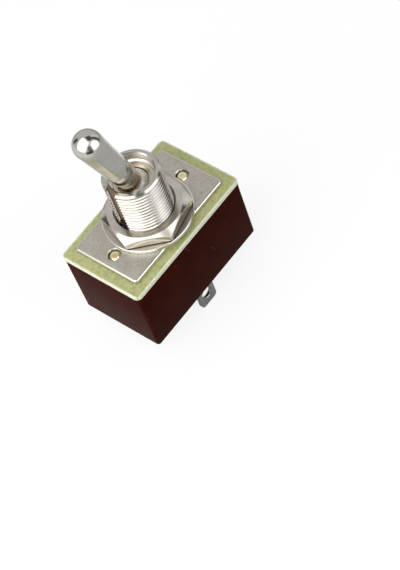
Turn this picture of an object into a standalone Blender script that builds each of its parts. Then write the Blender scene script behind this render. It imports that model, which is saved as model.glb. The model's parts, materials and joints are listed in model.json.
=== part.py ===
"""Two-pole bat-handle toggle switch, built as separate pieces in metres with +Z up.

The origin is the centre of the case's underside. X runs along the case and Y across it. The bushing,
nut and lever stand on +Z, and the solder lugs hang below the case on -Z. At rest the lever leans
towards -X, its tail presses the +X arms of both rockers down, and both circuits are closed.
"""

import math

import bmesh
import bpy
from mathutils import Matrix, Vector

MM = 0.001

# Fits
SEAT_GAP = 0.10 * MM       # between faces that rest on each other
RUN_GAP = 0.15 * MM        # round a part that turns or slides
SLOT_GAP = 0.12 * MM       # round a terminal blade in the case floor
THREAD_GAP = 0.15 * MM     # between the bushing and what is threaded over it
RIDE_GAP = 0.20 * MM       # between a plunger's end and the rocker that it rides on

# Case
CASE_LENGTH = 32.0 * MM
CASE_WIDTH = 19.7 * MM
CASE_HEIGHT = 16.6 * MM
CASE_DRAFT = 0.1 * MM
CASE_CORNER = 0.7 * MM
CASE_FOOT_BEVEL = 0.25 * MM
END_WALL = 1.6 * MM
SIDE_WALL = 1.1 * MM
FLOOR = 3.4 * MM
BARRIER_HEIGHT = 7.6 * MM
BARRIER_THICKNESS = 1.2 * MM
POST_RADIUS = 3.3 * MM

# Case screws
SCREW_SPACING = 21.6 * MM
SCREW_SHANK_RADIUS = 1.25 * MM
SCREW_HEAD_RADIUS = 2.1 * MM
SCREW_HEAD_HEIGHT = 1.5 * MM
SCREW_SLOT_WIDTH = 0.6 * MM
SCREW_SLOT_DEPTH = 0.7 * MM
SCREW_TIP_RECESS = 0.25 * MM
SCREW_EDGE = 0.25 * MM
COUNTERBORE_RADIUS = 2.45 * MM
COUNTERBORE_DEPTH = 5.5 * MM
SCREW_HOLE_RADIUS = 1.5 * MM
TAPPED_HOLE_RADIUS = 1.4 * MM

# Plates
INSULATOR_OVERHANG = 0.2 * MM
INSULATOR_THICKNESS = 0.95 * MM
INSULATOR_CORNER = 1.2 * MM
BRACKET_SCREW_MARGIN = 3.0 * MM  # from a screw's middle to the plate's end
BRACKET_SIDE_INSET = 1.85 * MM
BRACKET_THICKNESS = 1.1 * MM
BRACKET_CORNER = 0.7 * MM

# Bushing
BUSHING_RADIUS = 5.95 * MM
BUSHING_LENGTH = 14.0 * MM
BUSHING_CHAMFER = 0.45 * MM
THREAD_PITCH = 0.88 * MM
THREAD_DEPTH = 0.45 * MM
THREAD_LIP = 0.75 * MM     # from the bushing's top to its first groove
SPIGOT_RADIUS = 5.45 * MM
SWAGE_RADIUS = 5.8 * MM
SWAGE_THICKNESS = 0.6 * MM
TAIL_BORE_RADIUS = 4.9 * MM
MOUTH_RADIUS = 4.65 * MM
MOUTH_DEPTH = 1.15 * MM
MOUTH_CHAMFER = 0.1 * MM
RING_BORE_RADIUS = 4.2 * MM
KEYWAY_WIDTH = 2.0 * MM
KEYWAY_DEPTH = 0.8 * MM
SEAT_LIP_RADIUS = 2.6 * MM
RING_SHELF_HEIGHT = 1.15 * MM  # above the pivot

# Lever
LEVER_TILT = math.radians(16.5)
PIVOT_DEPTH = 4.2 * MM
BALL_RADIUS = 3.3 * MM
NECK_RADIUS = 2.2 * MM
NECK_TOP = 3.0 * MM
NECK_FLARE_RADIUS = 2.3 * MM
NECK_FLARE_HEIGHT = 4.2 * MM
SHOULDER_HEIGHT = 5.4 * MM
SHOULDER_RADIUS = 2.45 * MM
TIP_HEIGHT = 21.3 * MM
TIP_RADIUS = 3.07 * MM
TAIL_RADIUS = 1.2 * MM
TAIL_LENGTH = 16.0 * MM
TAIL_EDGE = 0.2 * MM
SHOULDER_STEP = 0.4 * MM
TRUNNION_RADIUS = 0.75 * MM
RING_THICKNESS = 0.8 * MM

# Nut and washers
WASHER_RADIUS = 9.4 * MM
WASHER_THICKNESS = 0.7 * MM
WASHER_TAB_WIDTH = 1.7 * MM
LOCK_RING_RADIUS = 7.0 * MM
LOCK_TOOTH_RADIUS = 7.6 * MM
LOCK_THICKNESS = 0.25 * MM
LOCK_TEETH = 14
NUT_ACROSS_FLATS = 16.2 * MM
NUT_HEIGHT = 2.05 * MM
NUT_CHAMFER_RADIUS = 7.75 * MM
NUT_CHAMFER_ANGLE = math.radians(30.0)
NUT_COUNTERSINK = 0.5 * MM
NUT_TURN = math.radians(12.5)

# Contacts
SHEET = 0.8 * MM
COMMON_WIDTH = 4.5 * MM
EAR_SPACING = 3.8 * MM
EAR_HEIGHT = 3.6 * MM
LOAD_WIDTH = 4.1 * MM
LOAD_END_GAP = 0.25 * MM
LOAD_SET_IN = 0.85 * MM      # of the blade's middle from the pole's middle
LOAD_SHELF_REACH = 1.3 * MM  # beyond the pole's middle
LUG_LENGTH = 6.2 * MM
LUG_HOLE_DROP = 3.05 * MM
LUG_HOLE_RADIUS = 1.3 * MM
LUG_CORNER = 0.9 * MM
ROCKER_TILT = math.radians(6.0)
ROCKER_WIDTH = 2.4 * MM
ROCKER_PIVOT_HEIGHT = 2.2 * MM
ROCKER_KNEE_X = 6.9 * MM
ROCKER_INNER_SLOPE = math.radians(22.0)
ROCKER_TRUNNION_RADIUS = 0.55 * MM
CONTACT_RADIUS = 1.1 * MM
CONTACT_THICKNESS = 0.6 * MM
CONTACT_EDGE = 0.15 * MM
CONTACT_SET_IN = 0.8 * MM  # of the contacts from the middle of the load blade
PIN_FACETS = 20

# Actuator
BLOCK_TOP = 13.5 * MM
BLOCK_BOTTOM = 16.5 * MM
BLOCK_HALF_LENGTH = 2.4 * MM
BLOCK_END_CLEARANCE = 0.85 * MM
BOSS_RADIUS = 2.2 * MM
BOSS_BOTTOM = 18.5 * MM
PLUNGER_RADIUS = 1.2 * MM
PLUNGER_TOP = 16.9 * MM
PLUNGER_EDGE = 0.15 * MM
BORE_TOP = 14.3 * MM
SPRING_WIRE_RADIUS = 0.16 * MM
SPRING_COIL_RADIUS = 0.8 * MM
SPRING_TURNS = 3.5
BLOCK_PIN_RADIUS = 0.5 * MM
BLOCK_PIN_HALF_LENGTH = 2.3 * MM
BLOCK_PIN_HEIGHT = 15.1 * MM

# Levels worked out from the sizes above
INSULATOR_Z = CASE_HEIGHT + SEAT_GAP
BRACKET_Z = INSULATOR_Z + INSULATOR_THICKNESS + SEAT_GAP
BRACKET_TOP = BRACKET_Z + BRACKET_THICKNESS
BUSHING_Z = BRACKET_TOP + SEAT_GAP
BUSHING_TOP = BRACKET_TOP + BUSHING_LENGTH
WASHER_Z = BRACKET_TOP + SEAT_GAP
LOCK_Z = WASHER_Z + WASHER_THICKNESS + SEAT_GAP
NUT_Z = LOCK_Z + LOCK_THICKNESS + SEAT_GAP
PIVOT_Z = BUSHING_TOP - PIVOT_DEPTH
SOCKET_RADIUS = BALL_RADIUS + RUN_GAP
SCREW_X = SCREW_SPACING / 2
ROCKER_PIVOT_Z = FLOOR + ROCKER_PIVOT_HEIGHT
CAVITY_X = CASE_LENGTH / 2 - END_WALL
CAVITY_Y = CASE_WIDTH / 2 - SIDE_WALL
COMMON_Y = CAVITY_Y - RUN_GAP - SHEET / 2
EAR_INNER_Y = COMMON_Y - EAR_SPACING
POLE_Y = COMMON_Y - EAR_SPACING / 2
LOAD_X = CAVITY_X - LOAD_END_GAP - LOAD_WIDTH / 2
LOAD_Y = POLE_Y - LOAD_SET_IN
CONTACT_ARM_X = LOAD_X - CONTACT_SET_IN
ROCKER_END_X = CONTACT_ARM_X + CONTACT_RADIUS


def clear_scene():
    for obj in list(bpy.data.objects):
        bpy.data.objects.remove(obj, do_unlink=True)


def material(name, color, roughness, metallic):
    made = bpy.data.materials.new(name)
    made.use_nodes = True
    shader = made.node_tree.nodes["Principled BSDF"]
    shader.inputs["Base Color"].default_value = (*color, 1.0)
    shader.inputs["Roughness"].default_value = roughness
    shader.inputs["Metallic"].default_value = metallic
    return made


# Meshes


def extruded(outline, offset):
    """A prism: the flat outline, moved by offset."""
    bm = bmesh.new()
    face = bm.faces.new([bm.verts.new(point) for point in outline])
    grown = bmesh.ops.extrude_face_region(bm, geom=[face])["geom"]
    moved = [item for item in grown if isinstance(item, bmesh.types.BMVert)]
    bmesh.ops.translate(bm, verts=moved, vec=offset)
    bmesh.ops.recalc_face_normals(bm, faces=bm.faces)
    return bm


def box(low, high):
    x0, y0, z0 = low
    x1, y1, z1 = high
    return extruded([(x0, y0, z0), (x1, y0, z0), (x1, y1, z0), (x0, y1, z0)], (0, 0, z1 - z0))


def boxes(corners):
    """One mesh of several boxes that stand apart."""
    bm = bmesh.new()
    for low, high in corners:
        part = box(low, high)
        copy = bpy.data.meshes.new("box")
        part.to_mesh(copy)
        part.free()
        bm.from_mesh(copy)
        bpy.data.meshes.remove(copy)
    return bm


def turned(profile, segments, ring=False):
    """A shape turned round Z from (radius, height) points.

    A ring's profile closes on itself. Any other profile ends on the axis or in a flat end.
    """
    bm = bmesh.new()
    verts = [bm.verts.new((radius, 0, height)) for radius, height in profile]
    pairs = list(zip(verts, verts[1:]))
    if ring:
        pairs.append((verts[-1], verts[0]))
    edges = [bm.edges.new(pair) for pair in pairs]
    bmesh.ops.spin(bm, geom=verts + edges, cent=(0, 0, 0), axis=(0, 0, 1),
                   angle=math.tau, steps=segments, use_merge=True)
    bmesh.ops.remove_doubles(bm, verts=bm.verts, dist=0.001 * MM)
    bmesh.ops.holes_fill(bm, edges=[edge for edge in bm.edges if edge.is_boundary])
    bmesh.ops.recalc_face_normals(bm, faces=bm.faces)
    return bm


def rod(radius, low, high, segments=24):
    """A cylinder on the Z axis between two heights."""
    return turned([(radius, low), (radius, high)], segments)


def cross_drill(radius, half_length, segments=16):
    """A cutter along X whose flats, not its edges, lie where it meets the bore that it crosses."""
    bm = rod(radius, -half_length, half_length, segments)
    bmesh.ops.rotate(bm, verts=bm.verts, matrix=Matrix.Rotation(math.pi / segments, 3, "Z"))
    return along_x(bm)


def along_y(bm):
    """Turns a mesh made on the Z axis so that it lies along Y."""
    bmesh.ops.rotate(bm, verts=bm.verts, matrix=Matrix.Rotation(-math.pi / 2, 3, "X"))
    return bm


def along_x(bm):
    """Turns a mesh made on the Z axis so that it lies along X."""
    bmesh.ops.rotate(bm, verts=bm.verts, matrix=Matrix.Rotation(math.pi / 2, 3, "Y"))
    return bm


def moved(bm, vec):
    bmesh.ops.translate(bm, verts=bm.verts, vec=vec)
    return bm


def arc(radius, centre, start, end, steps):
    """Points on an arc in the plane, from the start angle to the end angle."""
    angles = [start + (end - start) * step / steps for step in range(steps + 1)]
    return [(centre[0] + radius * math.cos(a), centre[1] + radius * math.sin(a)) for a in angles]


def rounded_rectangle(half_x, half_y, radius, steps=5):
    points = []
    for quarter, (sx, sy) in enumerate([(1, 1), (-1, 1), (-1, -1), (1, -1)]):
        start = quarter * math.pi / 2
        centre = (sx * (half_x - radius), sy * (half_y - radius))
        points += arc(radius, centre, start, start + math.pi / 2, steps)
    return points


def rounded_plate(half_x, half_y, radius, low, thickness):
    outline = [(x, y, low) for x, y in rounded_rectangle(half_x, half_y, radius)]
    return extruded(outline, (0, 0, thickness))


def lofted(rings):
    """A closed shape through rings of points that all have the same count."""
    bm = bmesh.new()
    rows = [[bm.verts.new(point) for point in ring] for ring in rings]
    count = len(rows[0])
    for lower, upper in zip(rows, rows[1:]):
        for i in range(count):
            j = (i + 1) % count
            bm.faces.new((lower[i], lower[j], upper[j], upper[i]))
    bm.faces.new(list(reversed(rows[0])))
    bm.faces.new(rows[-1])
    bmesh.ops.recalc_face_normals(bm, faces=bm.faces)
    return bm


# Objects


def add_object(name, bm, look, parent=None):
    mesh = bpy.data.meshes.new(name)
    bm.to_mesh(mesh)
    bm.free()
    mesh.materials.append(look)
    mesh.shade_smooth()
    mesh.set_sharp_from_angle(angle=math.radians(35.0))
    obj = bpy.data.objects.new(name, mesh)
    obj.parent = parent
    bpy.context.scene.collection.objects.link(obj)
    return obj


def add_empty(name, location, tilt, parent=None):
    """An empty on a joint's axis, turned about Y by the tilt."""
    obj = bpy.data.objects.new(name, None)
    obj.empty_display_size = 2.0 * MM
    obj.location = location
    obj.rotation_euler = (0, tilt, 0)
    obj.parent = parent
    bpy.context.scene.collection.objects.link(obj)
    return obj


def combine(target, bm, operation):
    """Cuts a helper mesh from the target, joins it on, or keeps what both share."""
    mesh = bpy.data.meshes.new(target.name + "_helper")
    bm.to_mesh(mesh)
    bm.free()
    helper = bpy.data.objects.new(target.name + "_helper", mesh)
    helper.hide_render = True
    helper.display_type = "WIRE"
    helper.parent = target.parent
    bpy.context.scene.collection.objects.link(helper)
    modifier = target.modifiers.new(operation.title(), "BOOLEAN")
    modifier.operation = operation
    modifier.solver = "EXACT"
    modifier.object = helper


def cut(target, bm):
    combine(target, bm, "DIFFERENCE")


def join(target, bm):
    combine(target, bm, "UNION")


# Fixed pieces


def side_name(side):
    return "left" if side > 0 else "right"


def blade_slot(x, y, width, side):
    """The corners of a floor slot round a terminal blade."""
    half = width / 2 + SLOT_GAP
    low = side * y - SHEET / 2 - SLOT_GAP
    return (x - half, low, -MM), (x + half, low + SHEET + 2 * SLOT_GAP, FLOOR + MM)


def make_case(look):
    levels = [(0, CASE_DRAFT + CASE_FOOT_BEVEL), (CASE_FOOT_BEVEL, CASE_DRAFT), (CASE_HEIGHT, 0)]
    rings = []
    for height, inset in levels:
        outline = rounded_rectangle(CASE_LENGTH / 2 - inset, CASE_WIDTH / 2 - inset, CASE_CORNER)
        rings.append([(x, y, height) for x, y in outline])
    case = add_object("case", lofted(rings), look)
    for side in (1, -1):
        cut(case, pole_pocket(side))
    barrier_top = FLOOR + BARRIER_HEIGHT
    gap_x = SCREW_X - POST_RADIUS - RUN_GAP
    cut(case, box((-gap_x, -BARRIER_THICKNESS, barrier_top), (gap_x, BARRIER_THICKNESS, CASE_HEIGHT + MM)))
    for end in (1, -1):
        step = [(COUNTERBORE_RADIUS, -MM), (COUNTERBORE_RADIUS, COUNTERBORE_DEPTH),
                (SCREW_HOLE_RADIUS, COUNTERBORE_DEPTH), (SCREW_HOLE_RADIUS, CASE_HEIGHT + MM)]
        cut(case, moved(turned(step, 32), (end * SCREW_X, 0, 0)))
    slots = []
    for side in (1, -1):
        slots.append(blade_slot(0, COMMON_Y, COMMON_WIDTH, side))
        for end in (1, -1):
            slots.append(blade_slot(end * LOAD_X, LOAD_Y, LOAD_WIDTH, side))
    cut(case, boxes(slots))
    return case


def pole_pocket(side):
    """The hollow for one pole, between the side wall, the barrier and the two screw posts."""
    half = BARRIER_THICKNESS / 2
    meet = math.asin(half / POST_RADIUS)
    outline = [(-CAVITY_X, POST_RADIUS), (-CAVITY_X, CAVITY_Y), (CAVITY_X, CAVITY_Y),
               (CAVITY_X, POST_RADIUS)]
    outline += arc(POST_RADIUS, (SCREW_X, 0), math.pi / 2, math.pi - meet, 8)
    outline += arc(POST_RADIUS, (-SCREW_X, 0), meet, math.pi / 2, 8)
    points = [(x, side * y, FLOOR) for x, y in outline]
    return extruded(points, (0, 0, CASE_HEIGHT - FLOOR + MM))


def make_insulator(look):
    half_x = CASE_LENGTH / 2 + INSULATOR_OVERHANG
    half_y = CASE_WIDTH / 2 + INSULATOR_OVERHANG
    plate = add_object(
        "insulating_plate",
        rounded_plate(half_x, half_y, INSULATOR_CORNER, INSULATOR_Z, INSULATOR_THICKNESS), look)
    drill_plate(plate, SWAGE_RADIUS + 2 * SEAT_GAP, SCREW_HOLE_RADIUS)


def make_bracket(look):
    half_x = SCREW_X + BRACKET_SCREW_MARGIN
    half_y = CASE_WIDTH / 2 - BRACKET_SIDE_INSET
    plate = add_object(
        "bracket_plate",
        rounded_plate(half_x, half_y, BRACKET_CORNER, BRACKET_Z, BRACKET_THICKNESS), look)
    drill_plate(plate, SPIGOT_RADIUS + SEAT_GAP, TAPPED_HOLE_RADIUS)


def drill_plate(plate, centre_radius, screw_radius):
    low = CASE_HEIGHT - MM
    high = BRACKET_TOP + MM
    cut(plate, rod(centre_radius, low, high, 48))
    for end in (1, -1):
        cut(plate, moved(rod(screw_radius, low, high), (end * SCREW_X, 0, 0)))


def make_case_screw(name, end, look):
    under_head = COUNTERBORE_DEPTH - SEAT_GAP
    face = under_head - SCREW_HEAD_HEIGHT
    tip = BRACKET_TOP - SCREW_TIP_RECESS
    profile = [(SCREW_HEAD_RADIUS - SCREW_EDGE, face), (SCREW_HEAD_RADIUS, face + SCREW_EDGE),
               (SCREW_HEAD_RADIUS, under_head), (SCREW_SHANK_RADIUS, under_head),
               (SCREW_SHANK_RADIUS, tip - SCREW_EDGE), (SCREW_SHANK_RADIUS - SCREW_EDGE, tip)]
    screw = add_object(name, moved(turned(profile, 28), (end * SCREW_X, 0, 0)), look)
    reach = SCREW_HEAD_RADIUS + MM
    cut(screw, moved(box((-reach, -SCREW_SLOT_WIDTH / 2, face - MM),
                         (reach, SCREW_SLOT_WIDTH / 2, face + SCREW_SLOT_DEPTH)),
                     (end * SCREW_X, 0, 0)))


def make_bushing(look):
    spigot_foot = BRACKET_Z - SEAT_GAP - SWAGE_THICKNESS
    mouth_floor = BUSHING_TOP - MOUTH_DEPTH
    profile = [
        (TAIL_BORE_RADIUS, spigot_foot),
        (SWAGE_RADIUS, spigot_foot),
        (SWAGE_RADIUS, BRACKET_Z - SEAT_GAP),
        (SPIGOT_RADIUS, BRACKET_Z - SEAT_GAP),
        (SPIGOT_RADIUS, BUSHING_Z),
        (BUSHING_RADIUS, BUSHING_Z),
        *thread_grooves(BUSHING_RADIUS, BUSHING_Z, BUSHING_TOP - THREAD_LIP),
        (BUSHING_RADIUS, BUSHING_TOP - BUSHING_CHAMFER),
        (BUSHING_RADIUS - BUSHING_CHAMFER, BUSHING_TOP),
        (MOUTH_RADIUS + MOUTH_CHAMFER, BUSHING_TOP),
        (MOUTH_RADIUS, BUSHING_TOP - MOUTH_CHAMFER),
        (MOUTH_RADIUS, mouth_floor),
        (RING_BORE_RADIUS, mouth_floor),
        (RING_BORE_RADIUS, ring_floor()),
        (SOCKET_RADIUS, ring_floor()),
        (SOCKET_RADIUS, socket_floor()),
        (SEAT_LIP_RADIUS, socket_floor()),
    ]
    bushing = add_object("bushing", turned(profile, 48, ring=True), look)
    keyway_floor = BUSHING_RADIUS - KEYWAY_DEPTH
    cut(bushing, box((-BUSHING_RADIUS - MM, -KEYWAY_WIDTH / 2, BUSHING_Z + SEAT_GAP),
                     (-keyway_floor, KEYWAY_WIDTH / 2, BUSHING_TOP + MM)))
    half = TRUNNION_RADIUS + RUN_GAP
    for side in (1, -1):
        ends = sorted((side * (SOCKET_RADIUS - 0.5 * MM), side * (RING_BORE_RADIUS - SEAT_GAP)))
        cut(bushing, box((-half, ends[0], PIVOT_Z - half),
                         (half, ends[1], ring_floor() + SEAT_GAP)))


def thread_grooves(radius, low, high):
    """Profile points, from low to high, of the ring grooves that stand for a thread's turns."""
    turns = int((high - low) / THREAD_PITCH)
    points = [(radius, high - turns * THREAD_PITCH)]
    for turn in reversed(range(turns)):
        top = high - turn * THREAD_PITCH
        points += [(radius - THREAD_DEPTH, top - THREAD_PITCH / 2), (radius, top)]
    return points


def ring_floor():
    """The shelf in the bushing that carries the retaining ring."""
    return PIVOT_Z + RING_SHELF_HEIGHT


def socket_floor():
    """The floor under the ball, low enough for its lip to clear the ball."""
    reach = math.sqrt(SOCKET_RADIUS**2 - SEAT_LIP_RADIUS**2)
    return PIVOT_Z - reach


def make_retaining_ring(look):
    low = ring_floor() + SEAT_GAP
    high = low + RING_THICKNESS
    outer = RING_BORE_RADIUS - SEAT_GAP
    inner = math.sqrt((BALL_RADIUS + RUN_GAP)**2 - (low - PIVOT_Z)**2)
    add_object("retaining_ring",
               turned([(inner, low), (outer, low), (outer, high), (inner, high)], 40, ring=True),
               look)


def make_washer(look):
    inner = BUSHING_RADIUS + THREAD_GAP
    high = WASHER_Z + WASHER_THICKNESS
    profile = [(inner, WASHER_Z), (WASHER_RADIUS, WASHER_Z), (WASHER_RADIUS, high), (inner, high)]
    washer = add_object("key_washer", turned(profile, 48, ring=True), look)
    tab_end = BUSHING_RADIUS - KEYWAY_DEPTH + SEAT_GAP
    join(washer, box((-inner - MM, -WASHER_TAB_WIDTH / 2, WASHER_Z + 2 * SEAT_GAP),
                     (-tab_end, WASHER_TAB_WIDTH / 2, high - SEAT_GAP)))


def make_lock_washer(look):
    outline = []
    for tooth in range(LOCK_TEETH):
        for share, radius in ((0.0, LOCK_RING_RADIUS), (0.2, LOCK_TOOTH_RADIUS),
                              (0.55, LOCK_TOOTH_RADIUS), (0.75, LOCK_RING_RADIUS)):
            angle = math.tau * (tooth + share) / LOCK_TEETH
            outline.append((radius * math.cos(angle), radius * math.sin(angle), LOCK_Z))
    washer = add_object("lock_washer", extruded(outline, (0, 0, LOCK_THICKNESS)), look)
    cut(washer, rod(BUSHING_RADIUS + THREAD_GAP, LOCK_Z - MM, LOCK_Z + MM, 48))


def make_nut(look):
    corner = NUT_ACROSS_FLATS / 2 / math.cos(math.pi / 6)
    outline = [(corner * math.cos(math.pi / 3 * i + NUT_TURN),
                corner * math.sin(math.pi / 3 * i + NUT_TURN), NUT_Z) for i in range(6)]
    nut = add_object("hex_nut", extruded(outline, (0, 0, NUT_HEIGHT)), look)
    high = NUT_Z + NUT_HEIGHT
    reach = corner + MM
    fall = (reach - NUT_CHAMFER_RADIUS) * math.tan(NUT_CHAMFER_ANGLE)
    cone = [(reach, NUT_Z - MM), (reach, high - fall), (NUT_CHAMFER_RADIUS, high)]
    combine(nut, turned(cone, 48), "INTERSECT")
    bore = BUSHING_RADIUS + THREAD_GAP
    step = [(bore, NUT_Z - 2 * MM), (bore, high - NUT_COUNTERSINK),
            (bore + NUT_COUNTERSINK + MM, high + MM)]
    cut(nut, turned(step, 48))


# Terminals and contacts


def contact_stack():
    """Heights of the closed contacts: the arm's middle, the fixed button's top and the shelf's top."""
    knee_z = ROCKER_KNEE_X * math.tan(ROCKER_INNER_SLOPE)
    arm = ROCKER_PIVOT_Z + knee_z * math.cos(ROCKER_TILT) - ROCKER_KNEE_X * math.sin(ROCKER_TILT)
    fixed_top = arm - SHEET / 2 - SEAT_GAP - CONTACT_THICKNESS - SEAT_GAP
    return arm, fixed_top, fixed_top - CONTACT_THICKNESS - SEAT_GAP


def contact_x():
    """Where the closed contacts meet along X."""
    height = rocker_points()[3][1] + (CONTACT_ARM_X - ROCKER_KNEE_X) * math.tan(ROCKER_TILT)
    return CONTACT_ARM_X * math.cos(ROCKER_TILT) + height * math.sin(ROCKER_TILT)


def make_terminal(name, side, x, blade_y, width, profile, look):
    """A bent blade: the (y, z) profile drawn across X, with a rounded lug end and its hole."""
    outline = [(x - width / 2, side * y, z) for y, z in profile]
    bm = extruded(outline, (width, 0, 0))
    ends = [edge for edge in bm.edges
            if all(abs(v.co.z + LUG_LENGTH) < 0.001 * MM for v in edge.verts)
            and abs(edge.verts[0].co.x - edge.verts[1].co.x) < 0.001 * MM]
    bmesh.ops.bevel(bm, geom=ends, offset=LUG_CORNER, affect="EDGES", segments=3, profile=0.5,
                    material=-1)
    terminal = add_object(name, bm, look)
    hole = along_y(rod(LUG_HOLE_RADIUS, -SHEET - MM, SHEET + MM))
    cut(terminal, moved(hole, (x, side * blade_y, -LUG_HOLE_DROP)))
    return terminal


def make_common_terminal(side, look):
    outer = COMMON_Y + SHEET / 2
    inner = COMMON_Y - SHEET / 2
    far_in = EAR_INNER_Y - SHEET / 2
    far_out = EAR_INNER_Y + SHEET / 2
    foot = FLOOR + SEAT_GAP
    top = FLOOR + EAR_HEIGHT
    profile = [(outer, -LUG_LENGTH), (outer, top), (inner, top), (inner, foot + SHEET),
               (far_out, foot + SHEET), (far_out, top), (far_in, top), (far_in, foot),
               (inner, foot), (inner, -LUG_LENGTH)]
    terminal = make_terminal("terminal_common_" + side_name(side), side, 0, COMMON_Y, COMMON_WIDTH,
                             profile, look)
    half = ROCKER_TRUNNION_RADIUS + RUN_GAP
    low_y, high_y = sorted((side * (far_in - MM), side * (outer + MM)))
    notch = arc(half, (0, ROCKER_PIVOT_Z), math.pi, math.tau, 10)
    notch += [(half, top + MM), (-half, top + MM)]
    cut(terminal, extruded([(x, low_y, z) for x, z in notch], (0, high_y - low_y, 0)))


def make_load_terminal(side, look):
    inner = LOAD_Y - SHEET / 2
    outer = LOAD_Y + SHEET / 2
    reach = POLE_Y + LOAD_SHELF_REACH
    top = contact_stack()[2]
    profile = [(inner, -LUG_LENGTH), (outer, -LUG_LENGTH), (outer, top - SHEET),
               (reach, top - SHEET), (reach, top), (inner, top)]
    terminal = make_terminal("terminal_load_" + side_name(side), side, LOAD_X, LOAD_Y, LOAD_WIDTH,
                             profile, look)
    hole = rod(CONTACT_RADIUS / 2 + SEAT_GAP, top - 2 * SHEET, top + SHEET)
    cut(terminal, moved(hole, (contact_x(), side * POLE_Y, 0)))


def contact_rivet():
    """A contact's shape: its button from 0 up, and the shank that passes through the sheet below."""
    shank = CONTACT_RADIUS / 2
    foot = -SEAT_GAP - SHEET
    return turned([(shank, foot), (shank, 0), (CONTACT_RADIUS, 0),
                   (CONTACT_RADIUS, CONTACT_THICKNESS - CONTACT_EDGE),
                   (CONTACT_RADIUS - CONTACT_EDGE, CONTACT_THICKNESS)], PIN_FACETS)


def make_fixed_contact(side, look):
    bottom = contact_stack()[1] - CONTACT_THICKNESS
    add_object("fixed_contact_" + side_name(side),
               moved(contact_rivet(), (contact_x(), side * POLE_Y, bottom)), look)


# Rocker


def rocker_points():
    """The middle line of a rocker blade in its own frame: a V with flatter ends."""
    knee_z = ROCKER_KNEE_X * math.tan(ROCKER_INNER_SLOPE)
    end_z = knee_z + (ROCKER_END_X - ROCKER_KNEE_X) * math.tan(ROCKER_TILT)
    half = [(ROCKER_KNEE_X, knee_z), (ROCKER_END_X, end_z)]
    return [(-x, z) for x, z in reversed(half)] + [(0.0, 0.0)] + half


def offset_line(points, distance):
    """The line beside a bent line, at the distance, with its corners mitred."""
    normals = []
    for (x0, z0), (x1, z1) in zip(points, points[1:]):
        length = math.hypot(x1 - x0, z1 - z0)
        normals.append(Vector((-(z1 - z0) / length, (x1 - x0) / length)))
    ends = [normals[0]] + normals + [normals[-1]]
    beside = []
    for point, before, after in zip(points, ends, ends[1:]):
        middle = (before + after).normalized()
        beside.append(Vector(point) + middle * distance / middle.dot(after))
    return beside


def make_rocker(side, parent, look):
    line = rocker_points()
    outline = list(offset_line(line, SHEET / 2)) + list(reversed(offset_line(line, -SHEET / 2)))
    points = [(p.x, -ROCKER_WIDTH / 2, p.y) for p in outline]
    rocker = add_object("rocker_" + side_name(side), extruded(points, (0, ROCKER_WIDTH, 0)), look, parent)
    inner = side * (EAR_INNER_Y - SHEET / 2 - POLE_Y)
    outer = side * (COMMON_Y + SHEET / 2 - POLE_Y)
    join(rocker, along_y(rod(ROCKER_TRUNNION_RADIUS, *sorted((inner, outer)), PIN_FACETS)))
    hole = rod(CONTACT_RADIUS / 2 + SEAT_GAP, -MM, MM)
    cut(rocker, on_rocker_arm(hole))


def on_rocker_arm(bm):
    """Moves a mesh made on the Z axis onto the contact end of the rocker's +X arm."""
    knee_x, knee_z = rocker_points()[3]
    bmesh.ops.rotate(bm, verts=bm.verts, matrix=Matrix.Rotation(-ROCKER_TILT, 3, "Y"))
    return moved(bm, (CONTACT_ARM_X, 0, knee_z + (CONTACT_ARM_X - knee_x) * math.tan(ROCKER_TILT)))


def make_moving_contact(side, parent, look):
    bm = contact_rivet()
    bmesh.ops.rotate(bm, verts=bm.verts, matrix=Matrix.Rotation(math.pi, 3, "X"))
    bm = moved(bm, (0, 0, -SHEET / 2 - SEAT_GAP))
    add_object("moving_contact_" + side_name(side), on_rocker_arm(bm), look, parent)


# Lever group, drawn upright about the lever's pivot


def make_lever(parent, look):
    tail_meets = -math.asin(math.sqrt(1 - (TAIL_RADIUS / BALL_RADIUS)**2))
    neck_meets = math.acos(NECK_RADIUS / BALL_RADIUS)
    profile = [(TAIL_RADIUS - TAIL_EDGE, -TAIL_LENGTH), (TAIL_RADIUS, TAIL_EDGE - TAIL_LENGTH)]
    profile += arc(BALL_RADIUS, (0, 0), tail_meets, neck_meets, 12)
    profile += [(NECK_RADIUS, NECK_TOP), (NECK_FLARE_RADIUS, NECK_FLARE_HEIGHT),
                (NECK_FLARE_RADIUS, SHOULDER_HEIGHT - SHOULDER_STEP),
                (SHOULDER_RADIUS, SHOULDER_HEIGHT)]
    profile += arc(TIP_RADIUS, (0, TIP_HEIGHT), 0, math.pi / 2, 8)[:-1]
    profile.append((0, TIP_HEIGHT + TIP_RADIUS))
    lever = add_object("lever", turned(profile, 36), look, parent)
    reach = BALL_RADIUS + MM
    cut(lever, along_y(rod(TRUNNION_RADIUS + SEAT_GAP, -reach, reach, PIN_FACETS)))
    hole = cross_drill(BLOCK_PIN_RADIUS + SEAT_GAP, reach)
    cut(lever, moved(hole, (0, 0, -BLOCK_PIN_HEIGHT)))


def make_trunnion_pin(parent, look):
    half = RING_BORE_RADIUS - 2 * SEAT_GAP
    add_object("trunnion_pin", along_y(rod(TRUNNION_RADIUS, -half, half, PIN_FACETS)), look, parent)


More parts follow.
